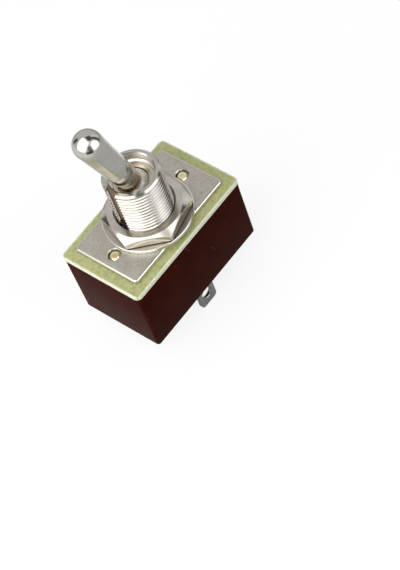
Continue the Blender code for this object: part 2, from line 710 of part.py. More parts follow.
def make_block(parent, look):
    half_y = CAVITY_Y - BLOCK_END_CLEARANCE
    block = add_object("actuator_block", box((-BLOCK_HALF_LENGTH, -half_y, -BLOCK_BOTTOM),
                                             (BLOCK_HALF_LENGTH, half_y, -BLOCK_TOP)), look, parent)
    boss_top = -(BLOCK_TOP + BLOCK_BOTTOM) / 2
    for side in (1, -1):
        join(block, moved(rod(BOSS_RADIUS, -BOSS_BOTTOM, boss_top), (0, side * POLE_Y, 0)))
    for side in (1, -1):
        bore = rod(PLUNGER_RADIUS + RUN_GAP, -BOSS_BOTTOM - MM, -BORE_TOP)
        cut(block, moved(bore, (0, side * POLE_Y, 0)))
    cut(block, rod(TAIL_RADIUS + SEAT_GAP, -BLOCK_BOTTOM - MM, -BLOCK_TOP + MM))
    hole = cross_drill(BLOCK_PIN_RADIUS + SEAT_GAP, BLOCK_HALF_LENGTH + MM)
    cut(block, moved(hole, (0, 0, -BLOCK_PIN_HEIGHT)))


def make_block_pin(parent, look):
    pin = along_x(rod(BLOCK_PIN_RADIUS, -BLOCK_PIN_HALF_LENGTH, BLOCK_PIN_HALF_LENGTH, 16))
    add_object("block_pin", moved(pin, (0, 0, -BLOCK_PIN_HEIGHT)), look, parent)


def plunger_reach():
    """How far below the pivot the plunger's round end is centred, so that it rides on the rocker."""
    drop = PIVOT_Z - ROCKER_PIVOT_Z
    slope = ROCKER_INNER_SLOPE - ROCKER_TILT
    clear = PLUNGER_RADIUS + RIDE_GAP + SHEET / 2
    return (drop * math.cos(slope) - clear) / math.cos(LEVER_TILT - slope)


def make_plunger(side, parent, look):
    centre = -plunger_reach()
    profile = [(0, centre - PLUNGER_RADIUS)]
    profile += arc(PLUNGER_RADIUS, (0, centre), -math.pi / 2, 0, 6)[1:]
    profile += [(PLUNGER_RADIUS, -PLUNGER_TOP - PLUNGER_EDGE),
                (PLUNGER_RADIUS - PLUNGER_EDGE, -PLUNGER_TOP)]
    add_object("plunger_" + side_name(side), moved(turned(profile, 24), (0, side * POLE_Y, 0)),
               look, parent)


def make_spring(side, parent, look):
    top = -(BORE_TOP + SEAT_GAP + SPRING_WIRE_RADIUS)
    bottom = -(PLUNGER_TOP - SEAT_GAP - SPRING_WIRE_RADIUS)
    steps = round(SPRING_TURNS * 12)
    curve = bpy.data.curves.new("plunger_spring", "CURVE")
    curve.dimensions = "3D"
    curve.bevel_depth = SPRING_WIRE_RADIUS
    curve.bevel_resolution = 2
    curve.use_fill_caps = True
    wire = curve.splines.new("POLY")
    wire.points.add(steps)
    for step, point in enumerate(wire.points):
        angle = math.tau * SPRING_TURNS * step / steps
        height = bottom + (top - bottom) * step / steps
        point.co = (SPRING_COIL_RADIUS * math.cos(angle),
                    side * POLE_Y + SPRING_COIL_RADIUS * math.sin(angle), height, 1)
    curve.materials.append(look)
    obj = bpy.data.objects.new("plunger_spring_" + side_name(side), curve)
    obj.parent = parent
    bpy.context.scene.collection.objects.link(obj)


def main():
    clear_scene()
    phenolic = material("phenolic", (0.075, 0.030, 0.022), 0.35, 0.0)
    glass_board = material("glass_board", (0.45, 0.50, 0.22), 0.5, 0.0)
    bracket_steel = material("bracket_steel", (0.42, 0.40, 0.36), 0.38, 1.0)
    nickel = material("nickel", (0.72, 0.69, 0.64), 0.12, 1.0)
    bushing_nickel = material("bushing_nickel", (0.68, 0.65, 0.60), 0.18, 1.0)
    washer_steel = material("washer_steel", (0.60, 0.58, 0.54), 0.22, 1.0)
    spring_steel = material("spring_steel", (0.35, 0.33, 0.30), 0.3, 1.0)
    screw_brass = material("screw_brass", (0.70, 0.55, 0.22), 0.25, 1.0)
    ring_brass = material("ring_brass", (0.62, 0.48, 0.28), 0.28, 1.0)
    tinned = material("tinned_brass", (0.66, 0.64, 0.60), 0.28, 1.0)
    rocker_bronze = material("rocker_bronze", (0.60, 0.36, 0.18), 0.3, 1.0)
    silver = material("contact_silver", (0.80, 0.79, 0.76), 0.22, 1.0)
    nylon = material("block_nylon", (0.70, 0.68, 0.60), 0.45, 0.0)

    make_case(phenolic)
    make_insulator(glass_board)
    make_bracket(bracket_steel)
    make_case_screw("case_screw_on_side", 1, screw_brass)
    make_case_screw("case_screw_off_side", -1, screw_brass)
    make_bushing(bushing_nickel)
    make_retaining_ring(ring_brass)
    make_washer(washer_steel)
    make_lock_washer(spring_steel)
    make_nut(nickel)

    lever_pivot = add_empty("lever_pivot", (0, 0, PIVOT_Z), -LEVER_TILT)
    make_lever(lever_pivot, nickel)
    make_trunnion_pin(lever_pivot, spring_steel)
    make_block(lever_pivot, nylon)
    make_block_pin(lever_pivot, spring_steel)
    for side in (1, -1):
        make_common_terminal(side, tinned)
        make_load_terminal(side, tinned)
        make_fixed_contact(side, silver)
        rocker_pivot = add_empty("rocker_pivot_" + side_name(side),
                                 (0, side * POLE_Y, ROCKER_PIVOT_Z), ROCKER_TILT)
        make_rocker(side, rocker_pivot, rocker_bronze)
        make_moving_contact(side, rocker_pivot, silver)
        make_plunger(side, lever_pivot, ring_brass)
        make_spring(side, lever_pivot, spring_steel)


main()
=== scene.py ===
"""Looks of a two-pole bat-handle toggle switch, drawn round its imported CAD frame.

Lengths are metres in the frame's axes. The origin is the centre of the case's underside, X runs along
the case, Y across it and Z up through the threaded bushing. At rest the lever leans towards -X.
"""

from __future__ import annotations

import json
import logging
import math
from dataclasses import dataclass
from enum import Enum
from typing import Any, Callable, Sequence

import bmesh
import bpy
from mathutils import Matrix, Vector

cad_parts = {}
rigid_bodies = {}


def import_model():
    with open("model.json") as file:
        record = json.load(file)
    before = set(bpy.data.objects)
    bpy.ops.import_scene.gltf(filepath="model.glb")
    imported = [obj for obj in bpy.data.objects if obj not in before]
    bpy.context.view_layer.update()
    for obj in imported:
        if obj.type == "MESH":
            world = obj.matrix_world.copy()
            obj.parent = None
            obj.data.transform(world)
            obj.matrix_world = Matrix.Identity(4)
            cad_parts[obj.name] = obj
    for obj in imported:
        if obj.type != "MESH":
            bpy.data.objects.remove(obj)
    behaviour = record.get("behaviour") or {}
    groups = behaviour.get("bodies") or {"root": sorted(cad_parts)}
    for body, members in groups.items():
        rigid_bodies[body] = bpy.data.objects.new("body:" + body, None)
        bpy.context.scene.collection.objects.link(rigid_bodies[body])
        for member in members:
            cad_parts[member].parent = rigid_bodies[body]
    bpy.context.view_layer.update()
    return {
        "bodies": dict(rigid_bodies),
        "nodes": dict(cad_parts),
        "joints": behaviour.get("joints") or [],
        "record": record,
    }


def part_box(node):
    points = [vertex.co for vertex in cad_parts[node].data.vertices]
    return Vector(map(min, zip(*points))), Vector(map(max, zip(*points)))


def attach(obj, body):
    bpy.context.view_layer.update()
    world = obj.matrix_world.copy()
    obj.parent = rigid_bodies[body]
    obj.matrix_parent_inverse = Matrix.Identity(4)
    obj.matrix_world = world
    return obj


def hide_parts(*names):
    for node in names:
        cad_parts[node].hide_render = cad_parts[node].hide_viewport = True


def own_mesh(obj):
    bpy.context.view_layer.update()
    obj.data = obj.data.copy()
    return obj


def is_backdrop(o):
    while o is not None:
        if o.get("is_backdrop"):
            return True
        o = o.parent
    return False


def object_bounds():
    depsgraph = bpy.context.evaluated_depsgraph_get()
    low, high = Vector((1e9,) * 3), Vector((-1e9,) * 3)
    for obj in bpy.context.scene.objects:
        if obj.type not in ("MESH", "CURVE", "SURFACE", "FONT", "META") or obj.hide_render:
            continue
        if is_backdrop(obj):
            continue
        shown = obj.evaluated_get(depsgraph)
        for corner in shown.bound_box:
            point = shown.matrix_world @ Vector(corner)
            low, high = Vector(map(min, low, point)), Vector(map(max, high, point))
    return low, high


LOG = logging.getLogger("toggle_switch")

MM = 0.001
FAR = 1.0                 # beyond every piece
WELD = 0.0005 * MM
SEAT = 0.02 * MM          # left between the drawn pieces that rest on each other
GAP = 0.1 * MM            # left between CAD solids that touch on the real switch
SIDES = (1, -1)
POLES = ((1, "left"), (-1, "right"))

Colour = tuple[float, float, float]
Point = Sequence[float]


# Modelling


class Operation(Enum):
    """What a Boolean does with the second shape."""

    CUT = "DIFFERENCE"
    JOIN = "UNION"
    KEEP = "INTERSECT"


class Shape:
    """A mesh in the making, with the operators that this object's pieces need."""

    def __init__(self) -> None:
        """Starts an empty mesh."""
        self.bm = bmesh.new()

    @classmethod
    def box(cls, low: Point, high: Point) -> Shape:
        """Makes a box.

        Args:
            low: Its lowest corner.
            high: Its highest corner.

        Returns:
            The box, with its faces outwards.
        """
        made = cls()
        bmesh.ops.create_cube(made.bm, size=1.0)
        bmesh.ops.scale(made.bm, vec=[b - a for a, b in zip(low, high)], verts=made.bm.verts)
        return made.move(*((a + b) / 2 for a, b in zip(low, high)))

    @classmethod
    def sheet(cls, width: float, height: float) -> Shape:
        """Makes a flat sheet round the origin.

        Args:
            width: Its size along X.
            height: Its size along Y.

        Returns:
            The sheet, which faces +Z.
        """
        made = cls()
        bmesh.ops.create_grid(made.bm, x_segments=1, y_segments=1, size=0.5)
        bmesh.ops.scale(made.bm, vec=(width, height, 1), verts=made.bm.verts)
        return made

    @classmethod
    def lathe(cls, profile: Sequence[Point], steps: int, ring: bool = False) -> Shape:
        """Turns a profile round Z.

        Args:
            profile: The (radius, height) points.
            steps: How many steps make the full turn.
            ring: Whether the profile closes on itself.

        Returns:
            The turned shape, with flat ends filled.
        """
        made = cls()
        made._spin(profile + profile[:1] if ring else profile, steps)
        return made.close()

    @classmethod
    def rod(cls, radius: float, low: float, high: float, steps: int) -> Shape:
        """Turns a plain rod that stands along Z between two heights."""
        return cls.lathe([(radius, low), (radius, high)], steps)

    @classmethod
    def thread(cls, crest: float, root: float, pitch: float, low: float, high: float,
               steps: int) -> Shape:
        """Makes a solid right-hand thread on Z, with narrow crests and sharp roots.

        Args:
            crest: Radius of the thread's crest.
            root: Radius of its root.
            pitch: Rise of one turn.
            low: Height at which the thread is cut off below.
            high: Height at which it is cut off above.
            steps: How many steps make one turn.

        Returns:
            The threaded rod.
        """
        made = cls()
        fall = 0.1 * (crest - root)
        shape = ((0.0, root), (0.33, crest - fall), (0.41, crest), (0.60, crest), (0.67, crest - fall))
        turns = math.ceil((high - low) / pitch) + 3
        made._spin([(radius, low + pitch * (turn - 2 + share)) for turn in range(turns)
                    for share, radius in shape], steps, pitch)
        bmesh.ops.remove_doubles(made.bm, verts=made.bm.verts, dist=WELD)
        for height, up in ((low, False), (high, True)):
            everything = list(made.bm.verts) + list(made.bm.edges) + list(made.bm.faces)
            bmesh.ops.bisect_plane(made.bm, geom=everything, dist=WELD, plane_co=(0, 0, height),
                                   plane_no=(0, 0, 1), clear_outer=up, clear_inner=not up)
        return made.close()

    @classmethod
    def prism(cls, outline: Sequence[Point], rise: Point) -> Shape:
        """Extrudes a flat outline.

        Args:
            outline: Its corners, in order.
            rise: How far, and which way, it is extruded.

        Returns:
            The prism.
        """
        made = cls()
        face = made.bm.faces.new([made.bm.verts.new(point) for point in outline])
        grown = bmesh.ops.extrude_face_region(made.bm, geom=[face])["geom"]
        lifted = [item for item in grown if isinstance(item, bmesh.types.BMVert)]
        bmesh.ops.translate(made.bm, verts=lifted, vec=rise)
        return made.close()

    @classmethod
    def copy_of(cls, data: bpy.types.Mesh) -> Shape:
        """Copies a CAD mesh and merges its loose triangles into flat faces.

        Args:
            data: The mesh.

        Returns:
            The copy.
        """
        made = cls()
        made.bm.from_mesh(data)
        bmesh.ops.remove_doubles(made.bm, verts=made.bm.verts, dist=WELD)
        bmesh.ops.dissolve_limit(made.bm, angle_limit=math.radians(0.5), verts=made.bm.verts,
                                 edges=made.bm.edges)
        return made.close()

    def close(self) -> Shape:
        """Merges doubles, fills open ends and turns the faces outwards."""
        bmesh.ops.remove_doubles(self.bm, verts=self.bm.verts, dist=WELD)
        bmesh.ops.holes_fill(self.bm, edges=[edge for edge in self.bm.edges if edge.is_boundary])
        bmesh.ops.recalc_face_normals(self.bm, faces=self.bm.faces)
        return self

    def move(self, x: float, y: float, z: float) -> Shape:
        """Shifts the shape."""
        bmesh.ops.translate(self.bm, verts=self.bm.verts, vec=(x, y, z))
        return self

    def turn(self, angle: float, axis: str, centre: Point = (0, 0, 0)) -> Shape:
        """Turns the shape about an axis through a centre."""
        bmesh.ops.rotate(self.bm, verts=self.bm.verts, cent=centre, matrix=Matrix.Rotation(angle, 3, axis))
        return self

    def bevel(self, width: float, segments: int, pick: Callable[[bmesh.types.BMEdge], bool]) -> Shape:
        """Rounds the edges that a test picks.

        Args:
            width: How far the rounding reaches from the edge.
            segments: How many faces it has.
            pick: Says of each edge whether it is rounded.

        Returns:
            The same shape.
        """
        edges = [edge for edge in self.bm.edges if pick(edge)]
        bmesh.ops.bevel(self.bm, geom=edges, offset=width, offset_type="OFFSET", affect="EDGES",
                        segments=segments, profile=0.5, material=-1, clamp_overlap=True)
        return self

    def combine(self, operation: Operation, *tools: Shape) -> Shape:
        """Cuts the tools away, joins them on or keeps what is shared.

        Args:
            operation: What is done.
            tools: The shapes that do it. They are used up.

        Returns:
            The same shape.
        """
        for tool in tools:
            ours, theirs = (add_object("helper", shape.to_mesh("helper")) for shape in (self, tool))
            step = ours.modifiers.new("step", "BOOLEAN")
            step.operation = operation.value
            step.solver = "EXACT"
            step.object = theirs
            depsgraph = bpy.context.evaluated_depsgraph_get()
            result = bpy.data.meshes.new_from_object(ours.evaluated_get(depsgraph))
            self.bm = bmesh.new()
            self.bm.from_mesh(result)
            spent = [ours.data, theirs.data, result]
            for helper in (ours, theirs):
                bpy.data.objects.remove(helper)
            for mesh in spent:
                bpy.data.meshes.remove(mesh)
        return self

    def cut(self, *tools: Shape) -> Shape:
        """Cuts the tools away."""
        return self.combine(Operation.CUT, *tools)

    def join(self, *tools: Shape) -> Shape:
        """Joins the tools on."""
        return self.combine(Operation.JOIN, *tools)

    def to_mesh(self, name: str) -> bpy.types.Mesh:
        """Writes the shape to a mesh and uses it up.

        Args:
            name: The mesh's name.

        Returns:
            The mesh.
        """
        mesh = bpy.data.meshes.new(name)
        self.bm.to_mesh(mesh)
        self.bm.free()
        return mesh

    def _spin(self, points: Sequence[Point], steps: int, rise: float = 0.0) -> None:
        """Sweeps a line one turn round Z.

        Args:
            points: Its (radius, height) points. It closes where the last one is the first.
            steps: How many steps make the turn.
            rise: How far it climbs in the turn.
        """
        ring = points[-1] == points[0]
        own = points[:-1] if ring else points
        verts = [self.bm.verts.new((radius, 0, height)) for radius, height in own]
        ends = verts[1:] + (verts[:1] if ring else [])
        edges = [self.bm.edges.new(pair) for pair in zip(verts, ends)]
        bmesh.ops.spin(self.bm, geom=verts + edges, cent=(0, 0, 0), axis=(0, 0, 1), angle=math.tau,
                       steps=steps, dvec=(0, 0, rise / steps), use_merge=not rise)


def add_object(name: str, data: bpy.types.ID) -> bpy.types.Object:
    """Adds an object to the scene.

    Args:
        name: Its name.
        data: Its mesh, lamp or camera.

    Returns:
        The object.
    """
    made = bpy.data.objects.new(name, data)
    bpy.context.scene.collection.objects.link(made)
    return made


def arc(radius: float, centre: Point, start: float, end: float, steps: int) -> list[tuple[float, float]]:
    """Lists the points of an arc in the plane, from the start angle to the end angle."""
    angles = [start + (end - start) * step / steps for step in range(steps + 1)]
    return [(centre[0] + radius * math.cos(a), centre[1] + radius * math.sin(a)) for a in angles]


def shares(steps: int) -> list[float]:
    """Lists the ends of equal steps from 0 to 1."""
    return [step / steps for step in range(1, steps + 1)]


def span(side: int, near: float, far: float) -> list[float]:
    """Gives the lower and the upper end of a stretch that is measured from the middle on one side."""
    return sorted((side * near, side * far))


def upright(edge: bmesh.types.BMEdge) -> bool:
    """Says whether an edge stands along Z."""
    a, b = (vert.co for vert in edge.verts)
    return abs(a.x - b.x) < WELD and abs(a.y - b.y) < WELD


def sharp(edge: bmesh.types.BMEdge, angle: float = math.radians(35)) -> bool:
    """Says whether an edge isn't upright, and its two faces meet at more than an angle."""
    return not upright(edge) and len(edge.link_faces) == 2 and edge.calc_face_angle(0.0) > angle


# Shader maths


class Value:
    """A shader socket that takes part in arithmetic."""

    def __init__(self, graph: Graph, socket: bpy.types.NodeSocket) -> None:
        """Wraps an output socket of a graph."""
        self.graph = graph
        self.socket = socket

    def out(self, name: str | int) -> Value:
        """Gives another output of the same node."""
        return Value(self.graph, self.socket.node.outputs[name])

    def math(self, operation: str, *others: Any) -> Value:
        """Adds a Math node that starts from this value."""
        return self.graph.node("Math", dict(enumerate((self, *others))), operation=operation)

    def __add__(self, other: Any) -> Value:
        """Adds."""
        return self.math("ADD", other)

    def __mul__(self, other: Any) -> Value:
        """Multiplies."""
        return self.math("MULTIPLY", other)

    def __sub__(self, other: Any) -> Value:
        """Takes the other value away."""
        return self.math("SUBTRACT", other)

    def __rsub__(self, other: Any) -> Value:
        """Takes this value away from the other."""
        return self.math("MULTIPLY", -1.0).math("ADD", other)

    def __abs__(self) -> Value:
        """Drops the sign."""
        return self.math("ABSOLUTE")

    def sine(self) -> Value:
        """Gives the sine."""
        return self.math("SINE")

    def least(self, other: Any) -> Value:
        """Gives the lower of two values."""
        return self.math("MINIMUM", other)

    def most(self, other: Any) -> Value:
        """Gives the higher of two values."""
        return self.math("MAXIMUM", other)

    def step(self, start: float, end: float) -> Value:
        """Gives a smooth step from 0 to 1.

        Args:
            start: The value up to which it is 0.
            end: The value from which it is 1. It may be the lower one.

        Returns:
            The step.
        """
        rises = start < end
        limits = {"From Min": min(start, end), "From Max": max(start, end),
                  "To Min": 0.0 if rises else 1.0, "To Max": 1.0 if rises else 0.0}
        return self.graph.node("MapRange", {"Value": self, **limits},
                               interpolation_type="SMOOTHSTEP", clamp=True)


def hypot(x: Value, y: Value) -> Value:
    """Gives the distance from the middle."""
    return (x * x + y * y).math("SQRT")


class Graph:
    """A node tree in the making."""

    def __init__(self, owner: bpy.types.Material | bpy.types.World) -> None:
        """Clears a node tree.

        Args:
            owner: The material or the world that has it.
        """
        owner.use_nodes = True
        self.tree = owner.node_tree
        self.tree.nodes.clear()

    def node(self, kind: str, inputs: dict[Any, Any] | None = None, **settings: Any) -> Value:
        """Adds a node.

        Args:
            kind: The end of its type's name.
            inputs: Values or links of its sockets, by name or number.
            settings: Its own settings, set first.

        Returns:
            Its first output, if it has one.
        """
        node = self.tree.nodes.new("ShaderNode" + kind)
        for name, value in settings.items():
            setattr(node, name, value)
        for name, value in (inputs or {}).items():
            if isinstance(value, Value):
                self.tree.links.new(value.socket, node.inputs[name])
            else:
                node.inputs[name].default_value = value
        return Value(self, node.outputs[0] if node.outputs else None)

    def place(self, scale: Point = (1, 1, 1), turn: Point = (0, 0, 0), shift: Point = (0, 0, 0)) -> Value:
        """Gives the object's own coordinates, shifted, turned and scaled."""
        inputs = {"Vector": self.node("TexCoord").out("Object"), "Location": shift, "Rotation": turn,
                  "Scale": scale}
        return self.node("Mapping", inputs, vector_type="POINT")

    def axes(self, place: Value) -> list[Value]:
        """Splits coordinates into X, Y and Z."""
        parts = self.node("SeparateXYZ", {0: place})
        return [parts.out(axis) for axis in range(3)]

    def noise(self, place: Value, size: float, detail: float = 3.0, rough: float = 0.55) -> Value:
        """Gives soft noise from 0 to 1, in patches of a size, with some finer and rougher layers."""
        inputs = {"Vector": place, "Scale": 1.0 / size, "Detail": detail, "Roughness": rough}
        return self.node("TexNoise", inputs, noise_dimensions="3D")

    def specks(self, place: Value, spacing: float, radius: float) -> Value:
        """Gives 1 on small round specks, and 0 between them."""
        cells = self.node("TexVoronoi", {"Vector": place, "Scale": 1.0 / spacing}, feature="F1")
        return cells.out("Distance").step(radius / spacing, 0.4 * radius / spacing)

    def mix(self, low: Any, high: Any, share: Any) -> Value:
        """Mixes two colours, of which the second has the given share."""
        first, second = (item if isinstance(item, Value) else (*item, 1.0) for item in (low, high))
        return self.node("Mix", {0: share, 6: first, 7: second}, data_type="RGBA", clamp_factor=True).out(2)

    def glow(self, colour: Any, strength: Any, kind: str = "Emission") -> Value:
        """Gives a shader that shines by itself."""
        return self.node(kind, {"Color": colour, "Strength": strength})

    def bump(self, height: Value, depth: float) -> Value:
        """Tilts the normal by a height field of the given depth."""
        return self.node("Bump", {"Height": height, "Distance": depth, "Strength": 1.0})

    def surface(self, colour: Value, roughness: Value, normal: Value, fixed: dict[str, float]) -> None:
        """Ends the graph in a Principled shader."""
        inputs = {"Base Color": colour, "Roughness": roughness, "Normal": normal, **fixed}
        self.end(self.node("BsdfPrincipled", inputs))

    def end(self, shader: Value, kind: str = "OutputMaterial") -> None:
        """Ends the graph in a shader."""
        self.node(kind, {"Surface": shader})


# Finishes


class Grain(Enum):
    """Which way a metal's fine marks run."""

    CLOUDED = "no direction"
    TURNED = "rings round Z"
    DRAWN = "lines along Z"
    ROLLED = "lines along X"


@dataclass(frozen=True)
class Finish:
    """What every finish has: the record's slot, which also names the material."""

    slot: str

    def material(self) -> bpy.types.Material:
        """Gives the finish's material, made when it is first asked for."""
        name = "finish_" + self.slot + self.variant()
        made = bpy.data.materials.get(name)
        if not made:
            made = bpy.data.materials.new(name)
            self.paint(Graph(made))
        return made

    def variant(self) -> str:
        """Tells apart two finishes of one slot."""
        return ""

    def paint(self, graph: Graph) -> None:
        """Fills the material's graph; each kind of finish has its own."""
        raise NotImplementedError


@dataclass(frozen=True)
class TintZone:
    """A zone of a metal with its own colour and roughness; most zones here are painted highlights, painted
    shade or painted reflections.

    The zone is a box, cut to a cylinder about Z, or all that lies outside it.
    """

    colour: Colour
    low: Point = (-FAR, -FAR, -FAR)
    high: Point = (FAR, FAR, FAR)
    radius: float = FAR
    outside: bool = False
    roughness: float = 0.1
    soft: float = 0.1 * MM

    def share(self, graph: Graph, place: Value) -> Value:
        """Gives 1 inside the zone and 0 outside it.

        Args:
            graph: The metal's graph.
            place: Coordinates that follow the metal.

        Returns:
            The share, a little uneven.
        """
        x, y, z = graph.axes(place)
        share = hypot(x, y).step(self.radius + self.soft, self.radius - self.soft)
        for value, low, high in zip((x, y, z), self.low, self.high):
            share = share * value.step(low - self.soft, low + self.soft)
            share = share * value.step(high + self.soft, high - self.soft)
        uneven = graph.noise(place, 0.6 * MM, 3.0).step(0.15, 0.5) * 0.3 + 0.7
        return (1.0 - share if self.outside else share) * uneven


@dataclass(frozen=True)
class Metal(Finish):
    """A bare or plated metal with soft clouding, fine marks, light wear and tinted zones, most of them
    painted highlights or shade.
    """

    colour: Colour
    cloud_colour: Colour
    roughness: float
    grain: Grain = Grain.CLOUDED
    cloud_size: float = 2.5 * MM
    grain_size: float = 0.12 * MM
    grain_depth: float = 0.0010 * MM
    marks: float = 0.08
    tilt: float = 0.0
    pits: float = 0.0
    tint_zones: tuple[TintZone, ...] = ()

    def variant(self) -> str:
        """Names the grain and tilt."""
        return "_" + self.grain.name.lower() + ("_tilted" if self.tilt else "")

    def paint(self, graph: Graph) -> None:
        """Fills the material's graph.

        Args:
            graph: The graph.
        """
        stretch = 0.04
        place = graph.place(turn=(0, self.tilt, 0))
        x, y, _ = graph.axes(place)
        clouds = graph.noise(place, self.cloud_size, 4.0).step(0.38, 0.68)
        lines = fine = graph.noise(graph.place(), self.grain_size, 2.0)
        if self.grain is Grain.TURNED:
            lines = (hypot(x, y) * (math.tau / self.grain_size) + fine * 3.0).sine() * 0.5 + 0.5
        elif self.grain is not Grain.CLOUDED:
            along = (stretch, 1, 1) if self.grain is Grain.ROLLED else (1, 1, stretch)
            lines = graph.noise(graph.place(along, (0, self.tilt, 0)), self.grain_size, 3.0)
        across = graph.place((1.0, 0.12, 0.5), (0.4, self.tilt, 0.7))
        scuffs = graph.noise(across, 0.35 * MM, 5.0, 0.7).step(0.62, 0.74)
        colour = graph.mix(self.colour, self.cloud_colour, clouds * 0.7 + fine * 0.25)
        if self.pits:
            pit_colour = tuple(0.5 * c for c in self.cloud_colour)
            colour = graph.mix(colour, pit_colour, fine.step(0.45, 0.70) * self.pits)
        roughness = clouds * 0.06 + lines * self.marks + scuffs * 0.10 + self.roughness
        # Each tinted zone mixes in its own colour and roughness; most are painted highlights, shade or
        # reflections.
        for tinted_zone in self.tint_zones:
            share = tinted_zone.share(graph, place)
            colour = graph.mix(colour, tinted_zone.colour, share)
            roughness = share * tinted_zone.roughness + roughness
        graph.surface(colour, roughness, graph.bump(lines, self.grain_depth), {"Metallic": 1.0})


@dataclass(frozen=True)
class GlassBoard(Finish):
    """Green glass-fibre board: mottled and faintly woven, with whitish sawn edges."""

    colour: Colour
    deep_colour: Colour
    edge_colour: Colour
    half_length: float
    half_width: float
    thread_size: float = 0.55 * MM
    edge_width: float = 0.42 * MM

    def paint(self, graph: Graph) -> None:
        """Fills the material's graph.

        Args:
            graph: The graph.
        """
        place = graph.place()
        x, y, _ = graph.axes(place)
        warp = graph.noise(place, 1.2 * MM, 3.0) * 5.0
        per_thread = math.tau / self.thread_size
        weave = (x * per_thread + warp).sine() * (y * per_thread + warp).sine() * 0.5 + 0.5
        mottle = graph.noise(place, 0.7 * MM, 5.0, 0.65).step(0.32, 0.60)
        streaks = graph.noise(graph.place((1, 1, 6)), 0.5 * MM, 3.0).step(0.4, 0.65)
        inner = graph.mix(self.deep_colour, self.colour, mottle * 0.8 + weave * 0.25)
        to_edge = (self.half_length - abs(x)).least(self.half_width - abs(y))
        ragged = to_edge + (graph.noise(place, 0.35 * MM, 3.0) - 0.5) * (0.9 * self.edge_width)
        edge = ragged.step(self.edge_width, 0.35 * self.edge_width)
        colour = graph.mix(inner, graph.mix(self.edge_colour, self.colour, streaks * 0.6), edge)
        roughness = mottle * 0.12 + edge * 0.15 + 0.38
        normal = graph.bump(weave * 0.5 + mottle, 0.004 * MM)
        graph.surface(colour, roughness, normal, {"Specular IOR Level": 0.45})


@dataclass(frozen=True)
class Phenolic(Finish):
    """Dark red-brown moulding compound with pale filler specks and rubbed edges."""

    colour: Colour
    red_colour: Colour
    speck_colour: Colour
    rub_colour: Colour
    low: Point
    high: Point
    rub_width: float = 0.22 * MM

    def paint(self, graph: Graph) -> None:
        """Fills the material's graph.

        Args:
            graph: The graph.
        """
        place = graph.place()
        clouds = graph.noise(place, 5.0 * MM, 4.0).step(0.35, 0.7)
        fine = graph.noise(place, 0.25 * MM, 3.0, 0.7)
        large = graph.specks(graph.place(shift=(0.3, 0.2, 0.1)), 3.1 * MM, 0.22 * MM)
        specks = graph.specks(place, 1.5 * MM, 0.13 * MM).most(large)
        edge = self._near_edge(graph, place) * graph.noise(place, 0.8 * MM, 3.0).step(0.30, 0.62)
        base = graph.mix(self.colour, self.red_colour, clouds * 0.55 + fine * 0.25)
        rubbed = graph.mix(base, self.rub_colour, edge * 0.75)
        strewn = graph.noise(place, 4.0 * MM, 1.0).step(0.52, 0.68)
        colour = graph.mix(rubbed, self.speck_colour, specks * strewn)
        roughness = fine * 0.16 + clouds * 0.06 + edge * 0.12 + 0.24
        normal = graph.bump(fine + clouds * 0.6, 0.006 * MM)
        graph.surface(colour, roughness, normal, {"Specular IOR Level": 0.017})

    def _near_edge(self, graph: Graph, place: Value) -> Value:
        """Gives 1 close to the block's outer edges, where two faces are near."""
        a, b, c = ((value - low).least(high - value)
                   for value, low, high in zip(graph.axes(place), self.low, self.high))
        return a.least(b).most(a.most(b).least(c)).step(self.rub_width, 0.2 * self.rub_width)


@dataclass(frozen=True)
class Moulded(Finish):
    """A pale engineering plastic with a soft sheen."""

    colour: Colour
    shade_colour: Colour
    roughness: float

    def paint(self, graph: Graph) -> None:
        """Fills the material's graph.

        Args:
            graph: The graph.
        """
        place = graph.place()
        clouds = graph.noise(place, 3.0 * MM, 3.0).step(0.35, 0.7)
        fine = graph.noise(place, 0.15 * MM, 2.0)
        colour = graph.mix(self.colour, self.shade_colour, clouds * 0.5 + fine * 0.3)
        normal = graph.bump(fine, 0.003 * MM)
        graph.surface(colour, fine * 0.15 + self.roughness, normal, {"Specular IOR Level": 0.45})


